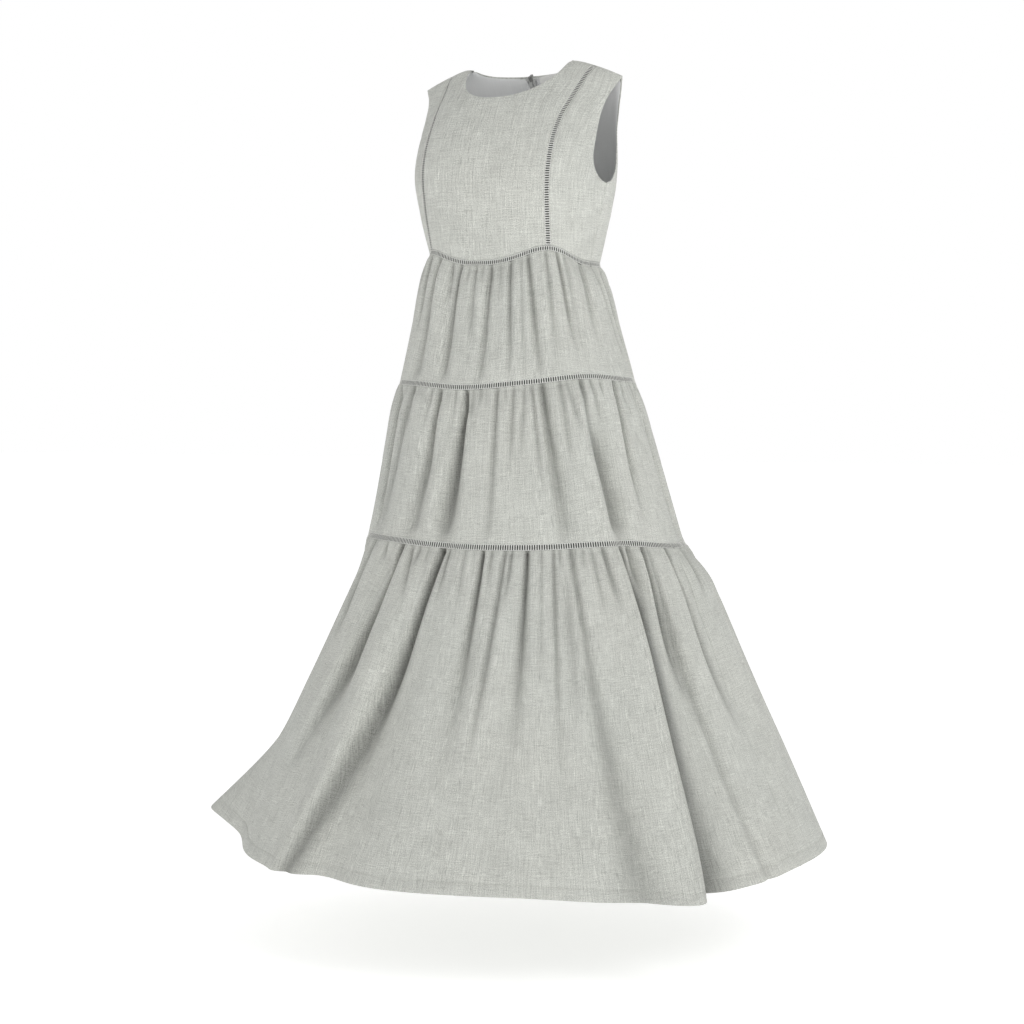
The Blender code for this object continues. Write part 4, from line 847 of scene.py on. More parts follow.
# For each size of pucker: its width in millimetres, depth, how far down it fades, and its sharpness.
Pucker = namedtuple("Pucker", "width depth fade sharpness")
PUCKERS = (Pucker(6, 1.8, 0.016, 0.25), Pucker(15, 2.2, 0.050, 0.30), Pucker(40, 3.0, 0.220, 0.55))
# the third value is how much painted shade the puckers' troughs get
PUCKER_SWAY, PUCKER_RISE, PUCKER_PAINTED_SHADE = 0.35, 0.35, 1.6


def tier_relief(azimuth, down, length, tier):
    """Height of the creases over the smooth surface below a tier's upper seam, and the painted shade in
    them.
    """
    share = np.clip(down / length, 0, 1)
    degree = (GIRTHS[tier] * (1 - share) + GIRTHS[tier + 1] * share) / 360     # metres for each degree
    near_seam = SEAM_HELD + SEAM_FREE * soft_step(down / SEAM_RUN)
    relief, painted_shade = np.zeros_like(azimuth), np.zeros_like(azimuth)
    for crease in CREASES[tier]:
        run = down / crease.reach
        middle = crease.azimuth + (crease.foot_azimuth - crease.azimuth) * np.clip(run, 0, 1.2)
        off = (np.mod(azimuth - middle + 180, 360) - 180) * degree
        width = crease.width + (crease.spread - crease.width) * soft_step(run)
        width = width * np.where(off > 0, crease.skew, 1)
        beside = np.abs(off) / (width * MM)
        strength = near_seam * (1 - soft_step((run - CREASE_HOLD) / CREASE_FADE))
        if crease.start:
            strength = strength * soft_step((down - crease.start) / START_RUN)
        bank = BANK_HEIGHT * np.exp(-(beside - BANK_PLACE) ** 2)
        section = bank - np.exp(-(beside / TROUGH_WIDTH) ** TROUGH_POWER)
        relief += FULLNESS * crease.depth * MM * strength * section
        # painted shade: narrow, deep creases get a darker colour
        painted_crease_dark = crease.shade or crease.depth / width
        painted_shade += strength * painted_crease_dark * np.exp(-(beside / PAINTED_SHADE_WIDTH) ** PAINTED_SHADE_POWER)
    for number, pucker in enumerate(PUCKERS):
        cells = int(GIRTHS[tier] / (pucker.width * MM))
        place = azimuth / 360 * cells
        along = down / (pucker.fade * 1.1) + 20.0
        sway = PUCKER_SWAY * lattice(place * 0.5, along, max(cells // 2, 1), 30 + 10 * tier + number)
        value = np.abs(lattice(place + sway, along, cells, 10 * tier + number)) / pucker.sharpness
        strength = near_seam * np.exp(-((down / pucker.fade) ** 1.5))
        relief -= pucker.depth * MM * strength * (np.exp(-value) - PUCKER_RISE)
        # painted shade in the puckers' troughs
        painted_shade += PUCKER_PAINTED_SHADE * strength * pucker.depth / pucker.width * np.exp(-2 * value)
    near_next = soft_step((share - NEXT_SEAM) / NEXT_SEAM_RUN) if tier < 2 else 0.0
    return relief * (1 - near_next), painted_shade * (1 - 0.5 * near_next)


print("small puckers round the waist:", [int(GIRTHS[0] / (p.width * MM)) for p in PUCKERS])

# %% [markdown]
# ## The skirt's panels
#
# The first tier is a front and two backs, because the zip runs into its centre back. The other tiers are
# a front and a back. Each stops a trim's half width short of the tier seams. The rows are close together
# just below the gathers, where the cloth turns sharply, and wide apart lower down. The hem is turned up
# twenty-one millimetres and sewn, and the stitches pull a fine groove into the face.

# %% Make the tiers
SEAM_INSET = TRIM_WIDTH / 2 + 0.0003      # from a trimmed seam's line to the panel's edge


def tier_edges(tier, azimuth):
    """The drops of a tier's upper and lower edge at some azimuths."""
    top = tier + levels_for(skirt_point, azimuth, tier + 0 * azimuth, SEAM_INSET)
    inset = 0 if tier == 2 else SEAM_INSET
    return top, tier + 1 - levels_for(skirt_point, azimuth, tier + 0.98 + 0 * azimuth, inset)


def tier_panel(name, tier, first, last, rows, columns, cut_width):
    """One panel between two azimuths, with its creases, and its length down the cloth in metres."""
    around = first + (last - first) * columns[0]
    top, foot = tier_edges(tier, around)
    steps = np.linspace(0, 1, 13)[:, None]
    path = skirt_point(around + 0 * steps, top + (foot - top) * steps)
    length = np.linalg.norm(np.diff(path, axis=0), axis=-1).sum(0)
    share = rows[0][:, None] + rows[1][:, None] / length
    drop = np.minimum(top + (foot - top) * share, tier + 0.99999)
    offset = columns[1] + np.select([columns[0] == 0, columns[0] == 1], [HALF_SEAM, -HALF_SEAM], 0)
    azimuth = around + 0 * drop + degrees_for(skirt_point, around + 0 * drop, drop, 1.0) * offset
    relief, painted_shade = tier_relief(azimuth, share * length, length, tier)
    normal = outward(skirt_point, azimuth, drop, 3.0)
    points = skirt_point(azimuth, drop, relief) - normal * under(rows, columns)[..., None]
    places = cloth_lengths(points)
    places[..., 0] = (azimuth - first) / (last - first) * cut_width
    piece = cloth_piece(name, points, places, linen, painted_shade=painted_shade)
    return piece, float(length.mean())


CUT_WIDTHS = (1.25, 1.75, 3.25)           # all round each tier, before it is gathered
TIER_ROWS = (lines(38, 1.5), lines(42, 1.5), lines(56, 1.5, end=HEM))
TierPanel = namedtuple("TierPanel", "name tier first last columns")
TIER_PANELS = (
    TierPanel("tier_1_front", 0, -90, 90, 330),
    TierPanel("tier_1_back_left", 0, 90, 180, 145),
    TierPanel("tier_1_back_right", 0, -180, -90, 145),
    TierPanel("tier_2_front", 1, -90, 90, 410),
    TierPanel("tier_2_back", 1, 90, 270, 340),
    TierPanel("tier_3_front", 2, -90, 90, 590),
    TierPanel("tier_3_back", 2, 90, 270, 400),
)
for name, tier, first, last, count in TIER_PANELS:
    cut = CUT_WIDTHS[tier] * (last - first) / 360
    columns = lines(count, 1.0, PLAIN, PLAIN)
    panel, length = tier_panel(name, tier, first, last, TIER_ROWS[tier], columns, cut)

# %% [markdown]
# ## The bodice
#
# The bodice fits smoothly, so its cloth has no gathers. It is cut as a front centre panel between two
# princess seams, two front sides and two backs, which meet at the side seams, at the shoulders and along
# the zip. The neck and the armholes are turned in cleanly against the lining. Where the cloth is pulled
# between the bust and the armhole it shows a few shallow drags, and it puckers a little along the seams.

# %% Follow the bodice's edges
def level_of_rise(rise):
    """The level at which the surface has risen by a share of the way up."""
    levels = np.linspace(0, 1, 400)
    return np.interp(rise, smooth(column(BODICE, "rise"), levels), levels)


def princess_azimuth(level):
    return smooth(column(BODICE, "princess"), level)


def arm_azimuth(level, field):
    """The side seam's azimuth up to the underarm, then the armhole's: a quarter oval, then its rows."""
    rows = column(BODICE, field)
    first = round(UNDERARM * (len(BODICE) - 1)) + 1
    chest = first / (len(BODICE) - 1)
    upper = smooth(rows[first:], (level - chest) / (1 - chest))
    turn = np.clip((level - UNDERARM) / (chest - UNDERARM), 0, 1)
    return np.where(level > chest, upper, 90 - (90 - rows[first]) * np.sqrt(1 - (1 - turn) ** 2))


def neck_level(azimuth, centre_rise):
    """The level of the neck edge at an azimuth from the centre line, 1 beyond the neck."""
    oval = (1 - np.clip(azimuth / NECK_HALF_ANGLE, -1, 1) ** 2) ** NECK_ROUNDNESS
    return level_of_rise(1 - (1 - centre_rise) * oval)


def bodice_levels(top, share, offset, azimuth):
    """Levels down from the top edge of each column to the waist trim, crowded at the underarm."""
    bottom = levels_for(bodice_point, azimuth, 0 * azimuth, SEAM_INSET)
    per_metre = levels_for(bodice_point, azimuth, np.minimum(top, 0.98), 1.0)
    up = 1 - share
    upper = (top - UNDERARM) * np.clip(2 * up - 1, 0, 1) ** 1.6
    return bottom + (UNDERARM - bottom) * np.minimum(2 * up, 1) + upper - offset * per_metre


print("neck edge at the centre front, level", round(float(neck_level(np.zeros(1), FRONT_NECK_RISE)[0]), 3))

# %% Shape the bodice's skin
# A drag starts beside the side seam at a level, falls by so much of a level for each degree towards the
# bust, and is depth millimetres deep, with a ridge above it.
Drag = namedtuple("Drag", "level fall depth")
DRAGS = (Drag(0.345, 0.0045, 1.1), Drag(0.400, 0.0070, 0.8))
DRAG_START = 88.0         # azimuth where they start; they grow, hold and fade over so many degrees
DRAG_GROWTH, DRAG_HOLD, DRAG_FADE = 6, 12, 22
DRAG_WIDTH, RIDGE_ABOVE, RIDGE_WIDTH = 0.009, 0.022, 0.012      # in levels
PUCKER_REACHES = (5.0, 2.5)               # degrees from the princess seam and the side seam
NECK_CORNER_DIPS = (0.0060, 0.0015)       # how far the neck's corners sink, on the wearer's right and left
NECK_CORNER_IN, NECK_CORNER_WIDE = 3.0, 5.0     # degrees: most of it inside the corner, and how wide
NECK_CORNER_LEVEL, NECK_CORNER_TALL = 0.92, 0.08


def bodice_relief(azimuth, level):
    """Shallow undulations, and the drags that run from the armhole's foot towards the bust."""
    soft = (0.5 * lattice(azimuth / 7.5 + 30, level * 9, 48, 71)
            + 0.25 * lattice(azimuth / 3 + 70, level * 20, 120, 72))
    side = np.abs(azimuth)
    in_front = DRAG_START - side
    for drag in DRAGS:
        line = drag.level - drag.fall * in_front
        run = soft_step(in_front / DRAG_GROWTH) * (side < 90)
        run = run * (1 - soft_step((in_front - DRAG_HOLD) / DRAG_FADE))
        soft = soft + drag.depth * run * (np.exp(-((level - line - RIDGE_ABOVE) / RIDGE_WIDTH) ** 2)
                                          - np.exp(-((level - line) / DRAG_WIDTH) ** 2))
    for seam, reach in zip((princess_azimuth(level), 90 + 0 * level), PUCKER_REACHES):
        off = np.abs(side - seam)
        soft = soft + 0.35 * lattice(off / 6 + 9, level * 42 + 3, 64, 73) * np.exp(-((off / reach) ** 2))
    return soft * MM


def bodice_skin(azimuth, level, depth, relief=True):
    """Places at a depth below the bodice's face, with the neck's corners rounded over the shoulders."""
    level = np.clip(level, 0, 1)
    lift = bodice_relief(azimuth, level) * (1 - soft_step((level - 0.9) / 0.08)) if relief else 0.0
    normal = bodice_outward(azimuth, level)
    points = bodice_point(azimuth, level) + normal * (lift - depth)[..., None]
    beside_neck = np.minimum(np.abs(azimuth), 180 - np.abs(azimuth)) - NECK_HALF_ANGLE + NECK_CORNER_IN
    corner = soft_step((level - NECK_CORNER_LEVEL) / NECK_CORNER_TALL)
    corner = np.exp(-((beside_neck / NECK_CORNER_WIDE) ** 2)) * corner
    points[..., 2] -= np.where(azimuth < 0, *NECK_CORNER_DIPS) * corner
    return points


waist_front = bodice_skin(np.zeros(1), np.zeros(1), np.zeros(1))[0]
print("centre front at the waist:", tuple(round(float(v), 3) for v in waist_front))

# %% Lay out the panels' grids
# Share of the front centre panel's half width, at the shoulder, that the neck takes up.
NECK_SHARE = NECK_HALF_ANGLE / float(princess_azimuth(np.ones(1))[0])


def degrees_here(azimuth, level):
    return degrees_for(bodice_point, azimuth, np.minimum(level, 0.97), 1.0)


def front_centre(rows, neck_lines=60, shoulder_lines=14, start=EDGE, end=EDGE):
    """Columns from one princess seam to the other, as close together as the neck's curve needs."""
    inner = np.sin(np.linspace(-math.pi / 2, math.pi / 2, neck_lines)) * NECK_SHARE
    outer = np.linspace(NECK_SHARE, 1, shoulder_lines + 2)[1:-1]
    middle = np.concatenate((-outer[::-1], inner, outer))
    columns = lines(len(middle), 1.0, start, end)
    columns[0] = np.concatenate((np.full(len(start), -1.0), middle, np.full(len(end), 1.0)))
    columns[1][len(start):len(start) + len(middle)] = 0
    end_azimuth = NECK_HALF_ANGLE / NECK_SHARE
    inside = np.abs(columns[0]) < NECK_SHARE
    top = neck_level(columns[0] * end_azimuth, FRONT_NECK_RISE)
    for _ in range(6):            # a column's azimuth depends on its level, so a few rounds settle both
        top = np.where(inside, neck_level(columns[0] * princess_azimuth(top), FRONT_NECK_RISE), 1.0)
    level = bodice_levels(top, rows[0][:, None], rows[1][:, None], columns[0] * end_azimuth)
    seam = princess_azimuth(np.clip(level, 0, 1))
    seam = seam - degrees_here(seam, level) * SEAM_INSET
    return columns[0] * seam + columns[1] * degrees_here(seam, level), level, under(rows, columns)


def front_side(rows, columns):
    """Columns from the wearer's left princess seam to the side seam and the armhole."""
    about = 50 + 35 * columns[0]            # their azimuths, near enough to space the rows
    level = bodice_levels(1.0 + 0 * columns[0], rows[0][:, None], rows[1][:, None], about)
    seam = princess_azimuth(np.clip(level, 0, 1))
    seam = seam + degrees_here(seam, level) * SEAM_INSET
    edge = arm_azimuth(np.clip(level, 0, 1), "front_arm")
    edge = edge - np.where(level <= UNDERARM, degrees_here(edge, level) * HALF_SEAM, 0)
    azimuth = seam + (edge - seam) * columns[0] + columns[1] * degrees_here(edge, level)
    return azimuth, level, under(rows, columns)


def back(rows, shoulder_lines=26, neck_lines=34, start=EDGE, end=EDGE):
    """Columns from the wearer's left side seam and armhole to the centre back."""
    tip = BODICE[-1].back_arm
    shoulder = np.linspace(tip, NECK_HALF_ANGLE, shoulder_lines + 2)[1:]
    neck = np.sin(np.linspace(math.pi / 2, 0, neck_lines))[1:-1] * NECK_HALF_ANGLE
    middle = np.concatenate((shoulder, neck))
    from_back = np.concatenate((np.full(len(start), tip), middle, np.zeros(len(end))))
    columns = lines(len(middle), 1.0, start, end)
    # The columns next to the armhole keep clear of the lines along its edge.
    room = np.clip((middle - NECK_HALF_ANGLE) / (tip - NECK_HALF_ANGLE), 0, 1)
    columns[1][len(start):len(start) + len(middle)] = start[-1][0] * MM * room
    top = np.where(from_back < NECK_HALF_ANGLE, neck_level(from_back, BACK_NECK_RISE), 1.0)
    level = bodice_levels(top, rows[0][:, None], rows[1][:, None], 180 - from_back)
    edge = 180 - arm_azimuth(np.clip(level, 0, 1), "back_arm")
    edge = edge + np.where(level <= UNDERARM, degrees_here(edge, level) * HALF_SEAM, 0)
    centre = 180 - degrees_here(180 + 0 * level, level) * HALF_SEAM
    azimuth = centre + (edge - centre) * (from_back / tip)
    return azimuth + columns[1] * degrees_here(edge, level), level, under(rows, columns)


def other_side(grid):
    """The same grid on the wearer's right."""
    azimuth, level, depth = grid
    return -azimuth[:, ::-1], level[:, ::-1], depth[:, ::-1]


rows = lines(92)
print("rows of a bodice panel:", rows.shape[1])

# %% Make the bodice's panels
LEAST_RADIUS = 0.12       # keeps the threads from crowding where the rings close over the shoulders


def bodice_lengths(azimuth, level, points):
    """The warp runs straight down from the shoulder, and the weft level round the body."""
    radius = (smooth(column(BODICE, "half_width"), level) + smooth(column(BODICE, "front"), level)) / 2
    from_centre = np.where(np.abs(azimuth) > 90, np.abs(azimuth) - 180, azimuth)
    return np.stack((np.radians(from_centre) * np.maximum(radius, LEAST_RADIUS), -points[..., 2]), -1)


def bodice_panel(name, grid):
    points = bodice_skin(*grid)
    piece = cloth_piece(name, points, bodice_lengths(*grid[:2], points), linen)


side_panel, back_panel = front_side(rows, lines(46)), back(rows)
bodice_panel("bodice_front_center", front_centre(rows))
bodice_panel("bodice_front_side_left", side_panel)
bodice_panel("bodice_front_side_right", other_side(side_panel))
bodice_panel("bodice_back_left", back_panel)
bodice_panel("bodice_back_right", other_side(back_panel))

# %% [markdown]
# ## The lining
#
# A smooth lining hangs inside the bodice. It is caught to the turned edges a few millimetres below the
# neck and the armholes, so none of it shows from outside, and it falls free to the waist seam. It is a
# front and two backs, and it stops beside the zip. It isn't quite flat, because it is cut a little larger
# than the linen. It is laid out on the bodice's own grids, with lines of its own along its edges, so it
# follows the linen everywhere at the depth where it hangs.

# %% Make the lining
LINING_TOP_EDGE = ((2.4, 1.42), (3.0, 1.70), (5.0, 2.40), (8.0, 3.00))
LINING_FREE_EDGE = ((0.0, 3.00),)
LINING_SIDE_SEAM, LINING_PRINCESS = ((1.5, 3.1),), ((0.0, 3.1),)
LINING_ZIP_EDGE = ((11.0, 2.3),)          # it stops beside the zip's tape
LINING_HANG = 0.0032      # how far inside the linen's face it hangs
LINING_THICK = 0.0004
lining_rows = lines(56, 1.0, LINING_TOP_EDGE, LINING_FREE_EDGE)


def lining_panel(name, grids):
    azimuth, level, depth = (np.concatenate(parts, 1) for parts in zip(*grids))
    waves = 0.35 * lattice(azimuth / 4.5 + 60, level * 14, 80, 81) * MM
    depth = np.where(depth == 0, LINING_HANG + waves, depth)
    points = bodice_skin(azimuth, level, depth, relief=False)
    places = bodice_lengths(azimuth, level, points)
    piece = cloth_piece(name, points, places, lining, LINING_THICK)


side_lining = front_side(lining_rows, lines(24, 1.0, LINING_SIDE_SEAM, LINING_TOP_EDGE))
centre_lining = front_centre(lining_rows, 44, 8, LINING_PRINCESS, LINING_PRINCESS)
lining_panel("lining_front", [other_side(side_lining), centre_lining, side_lining])
back_lining = back(lining_rows, 18, 24, LINING_TOP_EDGE, LINING_ZIP_EDGE)
lining_panel("lining_back_left", [back_lining])
lining_panel("lining_back_right", [other_side(back_lining)])

# %% [markdown]
# ## Ladder trim
#
# An open braid joins the panels: a row of short bars, nearly four millimetres apart, between two thin
# cords. The slots between the bars are real holes. Each bar is a small flattened tube, thinner in its
# middle, and all the bars and both cords of a seam are one mesh. The slots look dark on the real dress,
# because the inside of the dress lies in shade behind them. Here a strip of dark net two millimetres
# behind the bars paints that shade, and painted shade darkens the lower faces of the bars and cords.

# %% Weave one length of trim
BAR_PITCH, BAR_THICK, BAR_DEPTH = 0.00375, 0.00090, 0.00065
BAR_STEPS = np.array((0.00, 0.14, 0.36, 0.64, 0.86, 1.00))
BAR_HALF_WIDTHS = np.array((1.40, 1.15, 1.00, 1.00, 1.15, 1.40)) * MM
CORD_RADIUS, CORD_IN, CORD_DEPTH, CORD_SWAY = 0.00060, 0.00025, 0.00045, 0.00008
TRIM_LAP = 0.0003         # the braid starts this far from each panel's edge
NET_DEPTH, NET_BACK, NET_OVER = 0.0020, 0.0023, 0.0002
# painted shade: how much darker the lower faces of the bars and cords are made
UNDERSIDE_SHADE = 5.0     # how tucked in the undersides of the bars and cords are
hexagon = np.radians(np.arange(6) * 60 + 30)


def tube_faces(rings, sides, start=0):
    """The faces of a tube, ring after ring."""
    r, c = np.meshgrid(np.arange(rings - 1), np.arange(sides), indexing="ij")
    a, b = (r * sides + c).ravel(), (r * sides + (c + 1) % sides).ravel()
    return np.stack((a, b, b + sides, a + sides), -1) + start


def resample(line, spacing):
    """Points at an even spacing along a line, and how many there are."""
    run = np.concatenate(([0], np.cumsum(np.linalg.norm(np.diff(line[0], axis=0), axis=1))))
    count = max(2, round(run[-1] / spacing))
    at = (np.arange(count) + 0.5) * run[-1] / count
    return [np.stack([np.interp(at, run, axis) for axis in part.T], -1) for part in line], at


def trim(name, upper, lower, out):
    """upper and lower are the panels' edges facing each other, and out the direction out of the cloth."""
    across = unit(lower - upper)
    high, low = upper + across * TRIM_LAP, lower - across * TRIM_LAP
    (high, low, out), at = resample([high, low, out], BAR_PITCH)
    across = low - high
    along = unit(np.gradient(high, axis=0))
    out = unit(out - along * (out * along).sum(-1, keepdims=True))
    centre = high[:, None] + across[:, None] * BAR_STEPS[:, None] - out[:, None] * BAR_DEPTH
    wide = along[:, None, None] * (BAR_HALF_WIDTHS[:, None] * np.cos(hexagon))[..., None]
    thick = out[:, None, None] * (BAR_THICK / 2 * np.sin(hexagon))[..., None] * np.ones((6, 1, 1))
    bars = (centre[:, :, None] + wide + thick).reshape(-1, 3)
    place = np.stack(np.broadcast_arrays(
        at[:, None, None] + BAR_HALF_WIDTHS[:, None] * np.cos(hexagon), BAR_STEPS[:, None] * TRIM_WIDTH), -1)
    points, places = [bars], [place.reshape(-1, 2)]
    faces = [tube_faces(6, 6, 36 * k) for k in range(len(high))]
    count = len(bars)
    for edge, way in ((high, 1), (low, -1)):
        middle = edge + unit(across) * way * CORD_IN - out * CORD_DEPTH
        sway = CORD_SWAY * np.sin(np.arange(len(at)) * 2.4 + way)
        ring = (unit(across)[:, None] * np.cos(hexagon)[:, None] + out[:, None] * np.sin(hexagon)[:, None])
        cord = middle[:, None] + ring * CORD_RADIUS + unit(across)[:, None] * sway[:, None, None]
        points.append(cord.reshape(-1, 3))
        cord_places = np.stack(np.broadcast_arrays(at[:, None], hexagon * CORD_RADIUS), -1)
        places.append(cord_places.reshape(-1, 2))
        faces.append(tube_faces(len(at), 6, count))
        count += 6 * len(at)
    # painted shade on the lower faces of the bars and cords
    underside_painted_shade = np.tile(np.where(np.sin(hexagon) < 0, UNDERSIDE_SHADE, 0), count // 6)
    piece_from(name, np.concatenate(points), np.concatenate(faces), np.concatenate(places), name,
               trim_thread, painted_shade=underside_painted_shade)
    # a dark strip behind the bars, a painted shadow for the shaded inside of the dress
    corners = np.array(((-NET_OVER, NET_DEPTH), (1.0, NET_DEPTH), (1.0, NET_BACK), (-NET_OVER, NET_BACK)))
    net_across, net_in = corners[None, :, :1].clip(0), corners[None, :, 1:]
    strip = high[:, None] + across[:, None] * net_across - out[:, None] * net_in
    strip_places = np.stack(np.broadcast_arrays(at[:, None], corners[None, :, 0] * TRIM_WIDTH), -1)
    piece_from(f"{name}_painted_shadow", strip.reshape(-1, 3), tube_faces(len(at), 4), strip_places, None,
               painted_shadow_net)
    print(name, "has", len(high), "bars and about", 2 * sum(map(len, faces)), "triangles")


def skirt_edge(azimuth, drop):
    """A line on the skirt, and the directions straight out of the cloth along it."""
    return skirt_point(azimuth, drop), outward(skirt_point, azimuth, drop, 3.0)


print("bars in a metre of trim:", round(1 / BAR_PITCH))

# %% Set the trims in their seams
PRINCESS_TOP, PRINCESS_FOOT = 0.985, 0.012      # levels between which a princess seam's trim runs
level = np.linspace(PRINCESS_TOP, PRINCESS_FOOT, 200)
for side, sign in (("left", 1), ("right", -1)):
    seam = princess_azimuth(level)
    wide = degrees_here(seam, level) * SEAM_INSET
    near, far = (bodice_skin(sign * (seam + way * wide), level, 0 * level) for way in (-1, 1))
    trim(f"trim_princess_{side}", near, far, bodice_outward(sign * seam, level))
for part, first, last in (("front", -90, 90), ("back_left", 90, 180), ("back_right", -180, -90)):
    azimuth = np.linspace(first, last, 400)
    bottom = levels_for(bodice_point, azimuth, 0 * azimuth, SEAM_INSET)
    lower, out = skirt_edge(azimuth, tier_edges(0, azimuth)[0])
    trim(f"trim_waist_{part}", bodice_skin(azimuth, bottom, 0 * bottom), lower, out)
for tier, between in ((1, "1_2"), (2, "2_3")):
    for part, first, last in (("front", -90, 90), ("back", 90, 270)):
        azimuth = np.linspace(first, last, 500)
        upper, _ = skirt_edge(azimuth, tier_edges(tier - 1, azimuth)[1])
        lower, out = skirt_edge(azimuth, tier_edges(tier, azimuth)[0])
        trim(f"trim_tiers_{between}_{part}", upper, lower, out)

# %% [markdown]
# ## Zip and label
#
# The zip runs down the centre back from the neck into the first tier, inside the cloth. Two woven tapes
# carry a nylon coil: small loops that stand on each tape's edge and mesh in the middle. The slider is at
# the top, with the pull tab outside the neck, and the coil is left out where it runs through. A bare
# ribbon is sewn to the lining beside it by its two ends. Points along the centre back, at an even spacing,
# carry the tapes and the coil, so both follow the back's curve.

# %% Follow the centre back line
WAIST_LEVEL, WAIST_DROP = 0.012, 0.024    # the line leaves the bodice and joins the skirt at these
ZIP_FOOT_DROP = 0.5       # the zip ends half way down the first tier


def centre_back_line(spacing):
    """Points down the centre back from the neck edge to the zip's foot, and the way out of the cloth."""
    top = float(neck_level(np.zeros(1), BACK_NECK_RISE)[0])
    level, drop = np.linspace(top, WAIST_LEVEL, 120), np.linspace(WAIST_DROP, ZIP_FOOT_DROP, 80)
    on_bodice, on_skirt = np.full(level.shape, 180.0), np.full(drop.shape, 180.0)
    points = np.concatenate((bodice_point(on_bodice, level), skirt_point(on_skirt, drop)))
    out = np.concatenate((bodice_outward(on_bodice, level), outward(skirt_point, on_skirt, drop, 3.0)))
    points[:, 0] = out[:, 0] = 0
    return resample([points, unit(out)], spacing)


(line, out), at = centre_back_line(0.003)
print("zip", round(float(at[-1]), 3), "m long")

# %% Make the tapes and the coil
TAPE_NEAR, TAPE_FAR, TAPE_DEPTH, TAPE_THICK = 0.0006, 0.0102, 0.0019, 0.0006
TAPES_WIDE, TAPE_COLUMNS = 0.0198, 9
BACK_ROUNDNESS = 0.24     # twice the radius of the back beside its centre line, in metres
COIL_DEPTH = 0.0026       # of the loops' feet, below the cloth's face
COIL_STOP = 0.0005        # the coil stops this far below the slider
TOOTH_PITCH, TOOTH_RADIUS = 0.0013, 0.00030
SIDEWAYS = np.array((1.0, 0, 0))


def tape_points(x):
    """Places beside the centre back line, following the back's roundness."""
    sag = TAPE_DEPTH + x**2 / BACK_ROUNDNESS
    aside = np.broadcast_to(x, (len(line), len(x)))[..., None]
    return line[:, None] + SIDEWAYS * aside - out[:, None] * sag[:, None]


def build_tapes():
    strips, faces, places = [], [], []
    for number, side in enumerate((-1, 1)):
        x = -side * np.linspace(TAPE_NEAR, TAPE_FAR, TAPE_COLUMNS)[::side]
        strips.append(tape_points(x).reshape(-1, 3))
        faces.append(faces_of(len(line), TAPE_COLUMNS, number * TAPE_COLUMNS * len(line)))
        places.append(np.stack(np.broadcast_arrays(x, at[:, None]), -1).reshape(-1, 2))
    tape = piece_from("zip_tape", np.concatenate(strips), np.concatenate(faces), np.concatenate(places),
                      "zip_tape", zip_cloth)
    shell = tape.modifiers.new("thickness", "SOLIDIFY")
    shell.thickness, shell.offset = TAPE_THICK, -1


LOOP = np.array(((2.2, 0.15), (1.5, 0.95), (0.2, 1.05), (-0.35, 0.55), (0.2, 0.10))) * MM   # x, and inwards
pentagon = np.radians(np.arange(5) * 72)


def build_coil():
    """Loops in turn from the two tapes, left out where they run through the slider."""
    (places, ways_out), _ = centre_back_line(TOOTH_PITCH)
    points, faces = [], []
    for number, (place, away) in enumerate(zip(places, ways_out)):
        if place[2] > slider_foot - COIL_STOP:
            continue
        down = np.cross(away, SIDEWAYS)
        side = 1 if number % 2 else -1
        path = place + np.outer(LOOP[:, 0] * side, SIDEWAYS) - np.outer(LOOP[:, 1] + COIL_DEPTH, away)
        cross = np.cross(unit(np.gradient(path, axis=0)), down)
        around = cross[:, None] * np.cos(pentagon)[:, None] + down * np.sin(pentagon)[:, None]
        faces.append(tube_faces(len(LOOP), 5, 25 * len(points)))
        points.append((path[:, None] + around * TOOTH_RADIUS).reshape(-1, 3))
    print("teeth:", len(points))
    points = np.concatenate(points)
    piece_from("zip_coil", points, np.concatenate(faces), points[:, ::2], None, coil_nylon)


build_tapes()
build_coil()

# %% Make the bare label
# Azimuth and level of a patch of the lining's corners, lower pair first, and the shares of it that the
# ribbon covers each way.
LABEL_PATCH = (((176.4, 0.701), (157.8, 0.730)), ((176.2, 0.824), (156.4, 0.862)))
LABEL_INNER, LABEL_OUTER, LABEL_TOP, LABEL_FOOT = 0.10, 0.84, 0.94, 0.38
LABEL_DEPTH = 0.0043      # just inside the lining
LABEL_HELD, LABEL_END = 0.00045, 0.04     # its ends are drawn in by the stitches, over this share
LABEL_WAVE, LABEL_THICK = 0.00012, 0.0003
across = np.linspace(LABEL_OUTER, LABEL_INNER, 61)
tall = np.linspace(LABEL_TOP, LABEL_FOOT, 31)[:, None]
low, high = (np.array(first) + (np.array(last) - np.array(first)) * across[:, None]
             for first, last in LABEL_PATCH)
place = low[None] + (high - low)[None] * tall[..., None]
ends = np.minimum(across - LABEL_INNER, LABEL_OUTER - across) / LABEL_END
lift = LABEL_DEPTH - LABEL_HELD * np.exp(-ends**2) + LABEL_WAVE * np.sin(across * 19 + tall * 3)
points = bodice_skin(place[..., 0], place[..., 1], lift, relief=False)
label = cloth_piece("neck_label", points, cloth_lengths(points), ribbon, LABEL_THICK)
ways_off_label = -bodice_outward(place[..., 0], place[..., 1])
points_on_label = points + 0.0004 * ways_off_label

# %% [markdown]
# ## Hand stitches
#
# The hem is caught up by hand, with small stitches a few millimetres apart that barely show. The ribbon
# is held by a row of small stitches across each of its ends. A stitch is a short thread that dips into
# the cloth at both of its ends.

# %% Sew the hem and the label
HEM_STITCHES, HEM_STITCH_LONG, HEM_STITCH_RADIUS = 640, 0.0019, 0.00022
HEM_LINE = 0.0195         # metres above the hem's edge
LABEL_STITCH_RADIUS = 0.00011
STITCH_RISE, STITCH_DIP = 1.6, 0.8        # in radii: how much a stitch arches, and how deep its ends are


